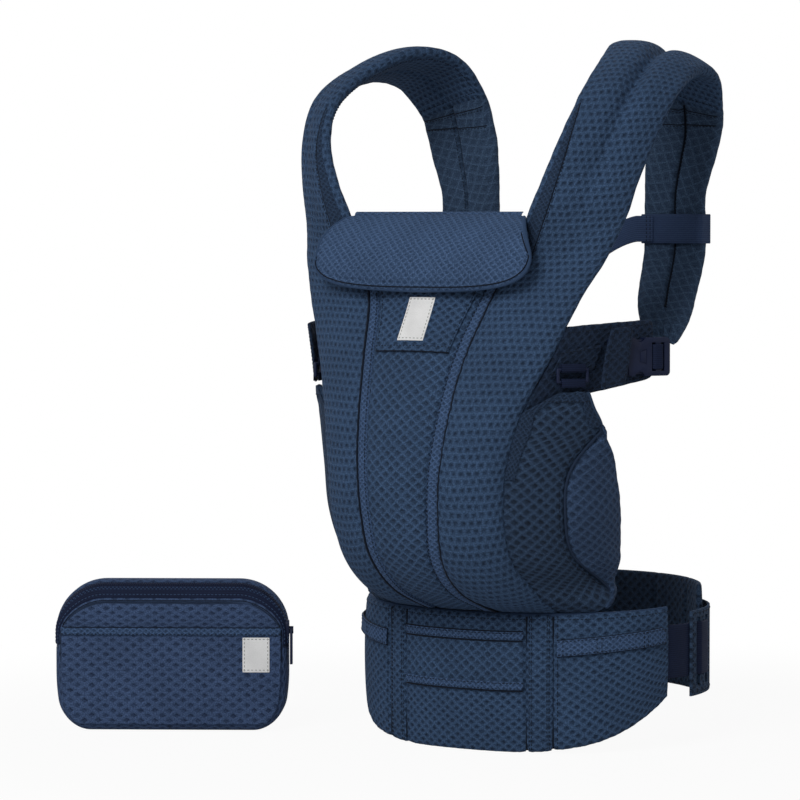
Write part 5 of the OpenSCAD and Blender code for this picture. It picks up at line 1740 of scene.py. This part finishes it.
        strip, under = Pad(tape, even(1.0)), Pad(lower_tape, even(0.9))
        place("zip_tape", strip.mesh("zip_tape", (260, 10), 2), "webbing", "zipper", "pouch")
        place("zip_lower_tape", under.mesh("zip_lower_tape", (260, 10), 2), "webbing", None, "pouch")
        stitches("zip_lower_stitches", [seam_line(under, (0.01, 0.99), k, 1, 0.1, 400) for k in (0.2, 0.8)],
                 "pouch", "thread_light")
        for v, name in ((0.42, "zip_coil_back"), (0.58, "zip_coil_front")):
            grow(name, "stitches", [seam_line(strip, (0.01, 0.99), v, 1, 0.3, 500)],
                 {"Pitch": 0.0021, "Bead Length": 0.0012, "Bead Width": 0.0026, "Bead Height": 0.0018,
                  "Thread": MATERIALS["plastic"]}, "pouch")
        for v, name in ((0.1, "zip_back_stitches"), (0.9, "zip_front_stitches")):
            stitches(name, [seam_line(strip, (0.01, 0.99), v, 1, 0.1, 400)], "pouch", "thread_light")
        for node in ("zip_slider", "zip_pull"):
            moulded(node, width=0.35)


AIM = Vector((-0.08606, -0.05666, 0.32135))
CAMERA_AT, FOCAL_LENGTH = Vector((2.1213, -3.2221, 0.492)), 183.9


class CARRIER_OT_stage(PieceOperator, bpy.types.Operator):
    """Set the pale floor, the soft lights and the camera"""
    bl_idname = "carrier.stage"
    bl_label = "Stage"

    def make(self, context):
        settings = context.scene.carrier_stage
        self.floor(context, settings)
        self.world(context, settings)
        for name, at, power, size in (("key", (0.5, -2.9, 2.1), settings.key, 1.4),
                                      ("fill", (-2.4, -1.4, 1.4), settings.fill, 2.0)):
            lamp = bpy.data.lights.new(name, "AREA")
            lamp.energy, lamp.size = power, size
            self.aimed(linked(name, lamp), at)
        lens = bpy.data.cameras.new("camera")
        lens.lens, lens.sensor_width, lens.clip_end = FOCAL_LENGTH, 36, 50
        context.scene.camera = self.aimed(linked("camera", lens), CAMERA_AT)
        context.scene.view_settings.view_transform = "Standard"

    @staticmethod
    def aimed(holder, at):
        """Stand a light or the camera at a place, turned towards the carrier."""
        holder.location = at
        holder.rotation_euler = (AIM - Vector(at)).to_track_quat("-Z", "Y").to_euler()
        return holder

    def floor(self, context, settings):
        """A pale floor, which the camera sees as plain white away from the carrier."""
        bpy.ops.mesh.primitive_plane_add(size=12, location=(0, 0, min(CAD_BOX[0][2], 0) - 0.0005))
        floor = context.object
        floor.name = "floor"
        made = bpy.data.materials.new("painted_floor")
        made.use_nodes = True
        tree = made.node_tree
        tree.nodes.clear()
        path = add(tree, "ShaderNodeLightPath")
        flat = add(tree, "ShaderNodeBsdfDiffuse", {}, {"Color": linear(settings.floor)})
        glow = add(tree, "ShaderNodeEmission", {}, {"Color": (1, 1, 1, 1), "Strength": 1.0})
        away = add(tree, "ShaderNodeVectorMath", {"operation": "LENGTH"}, {0: object_place(tree)})
        share = step(tree, away.outputs["Value"], 0.45, 1.0, 0.94, 1.0)
        seen = maths(tree, "MULTIPLY", path.outputs["Is Camera Ray"], share)
        mix = add(tree, "ShaderNodeMixShader", {}, {0: seen, 1: flat.outputs[0], 2: glow.outputs[0]})
        out = add(tree, "ShaderNodeOutputMaterial")
        tree.links.new(mix.outputs[0], out.inputs[0])
        floor.data.materials.append(made)

    def world(self, context, settings):
        """Even light from all round, which looks white where it is seen or mirrored."""
        world = bpy.data.worlds.new("studio")
        context.scene.world = world
        world.use_nodes = True
        tree = world.node_tree
        tree.nodes.clear()
        path = add(tree, "ShaderNodeLightPath")
        seen = maths(tree, "MAXIMUM", path.outputs["Is Camera Ray"],
                     maths(tree, "MAXIMUM", path.outputs["Is Glossy Ray"], path.outputs["Is Transmission Ray"]))
        strength = step(tree, seen, 0.0, 1.0, settings.sky, 1.0)
        white = add(tree, "ShaderNodeBackground", {}, {"Color": (1, 1, 1, 1), "Strength": strength})
        out = add(tree, "ShaderNodeOutputWorld")
        tree.links.new(white.outputs[0], out.inputs[0])


GROUPS = {"carrier_cloth": CarrierCloth, "carrier_sewing": CarrierSewing, "carrier_stage": CarrierStage}
PIECES = [CARRIER_OT_materials, CARRIER_OT_stage, CARRIER_OT_belt, CARRIER_OT_lumbar, CARRIER_OT_body,
          CARRIER_OT_seat, CARRIER_OT_straps, CARRIER_OT_headrest, CARRIER_OT_underarm,
          CARRIER_OT_chest_strap, CARRIER_OT_pouch]


class CARRIER_PT_pieces(bpy.types.Panel):
    """The carrier's sizes, colours and pieces"""
    bl_idname = "CARRIER_PT_pieces"
    bl_label = "Soft Baby Carrier"
    bl_space_type = "VIEW_3D"
    bl_region_type = "UI"
    bl_category = "Carrier"

    def draw(self, context):
        for group in GROUPS:
            settings = getattr(context.scene, group)
            for key in type(settings).bl_rna.properties.keys():
                if key not in ("rna_type", "name"):
                    self.layout.prop(settings, key)
        for piece in PIECES:
            self.layout.operator(piece.bl_idname)


CLASSES = [*GROUPS.values(), *PIECES, CARRIER_PT_pieces]


def register():
    for kind in CLASSES:
        bpy.utils.register_class(kind)
    for key, kind in GROUPS.items():
        setattr(bpy.types.Scene, key, bpy.props.PointerProperty(type=kind))


def unregister():
    for key in GROUPS:
        delattr(bpy.types.Scene, key)
    for kind in reversed(CLASSES):
        bpy.utils.unregister_class(kind)


def main():
    register()
    for piece in PIECES:
        group, name = piece.bl_idname.split(".")
        getattr(getattr(bpy.ops, group), name)()
    bpy.context.view_layer.update()
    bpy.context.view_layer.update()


if __name__ == "__main__":
    main()
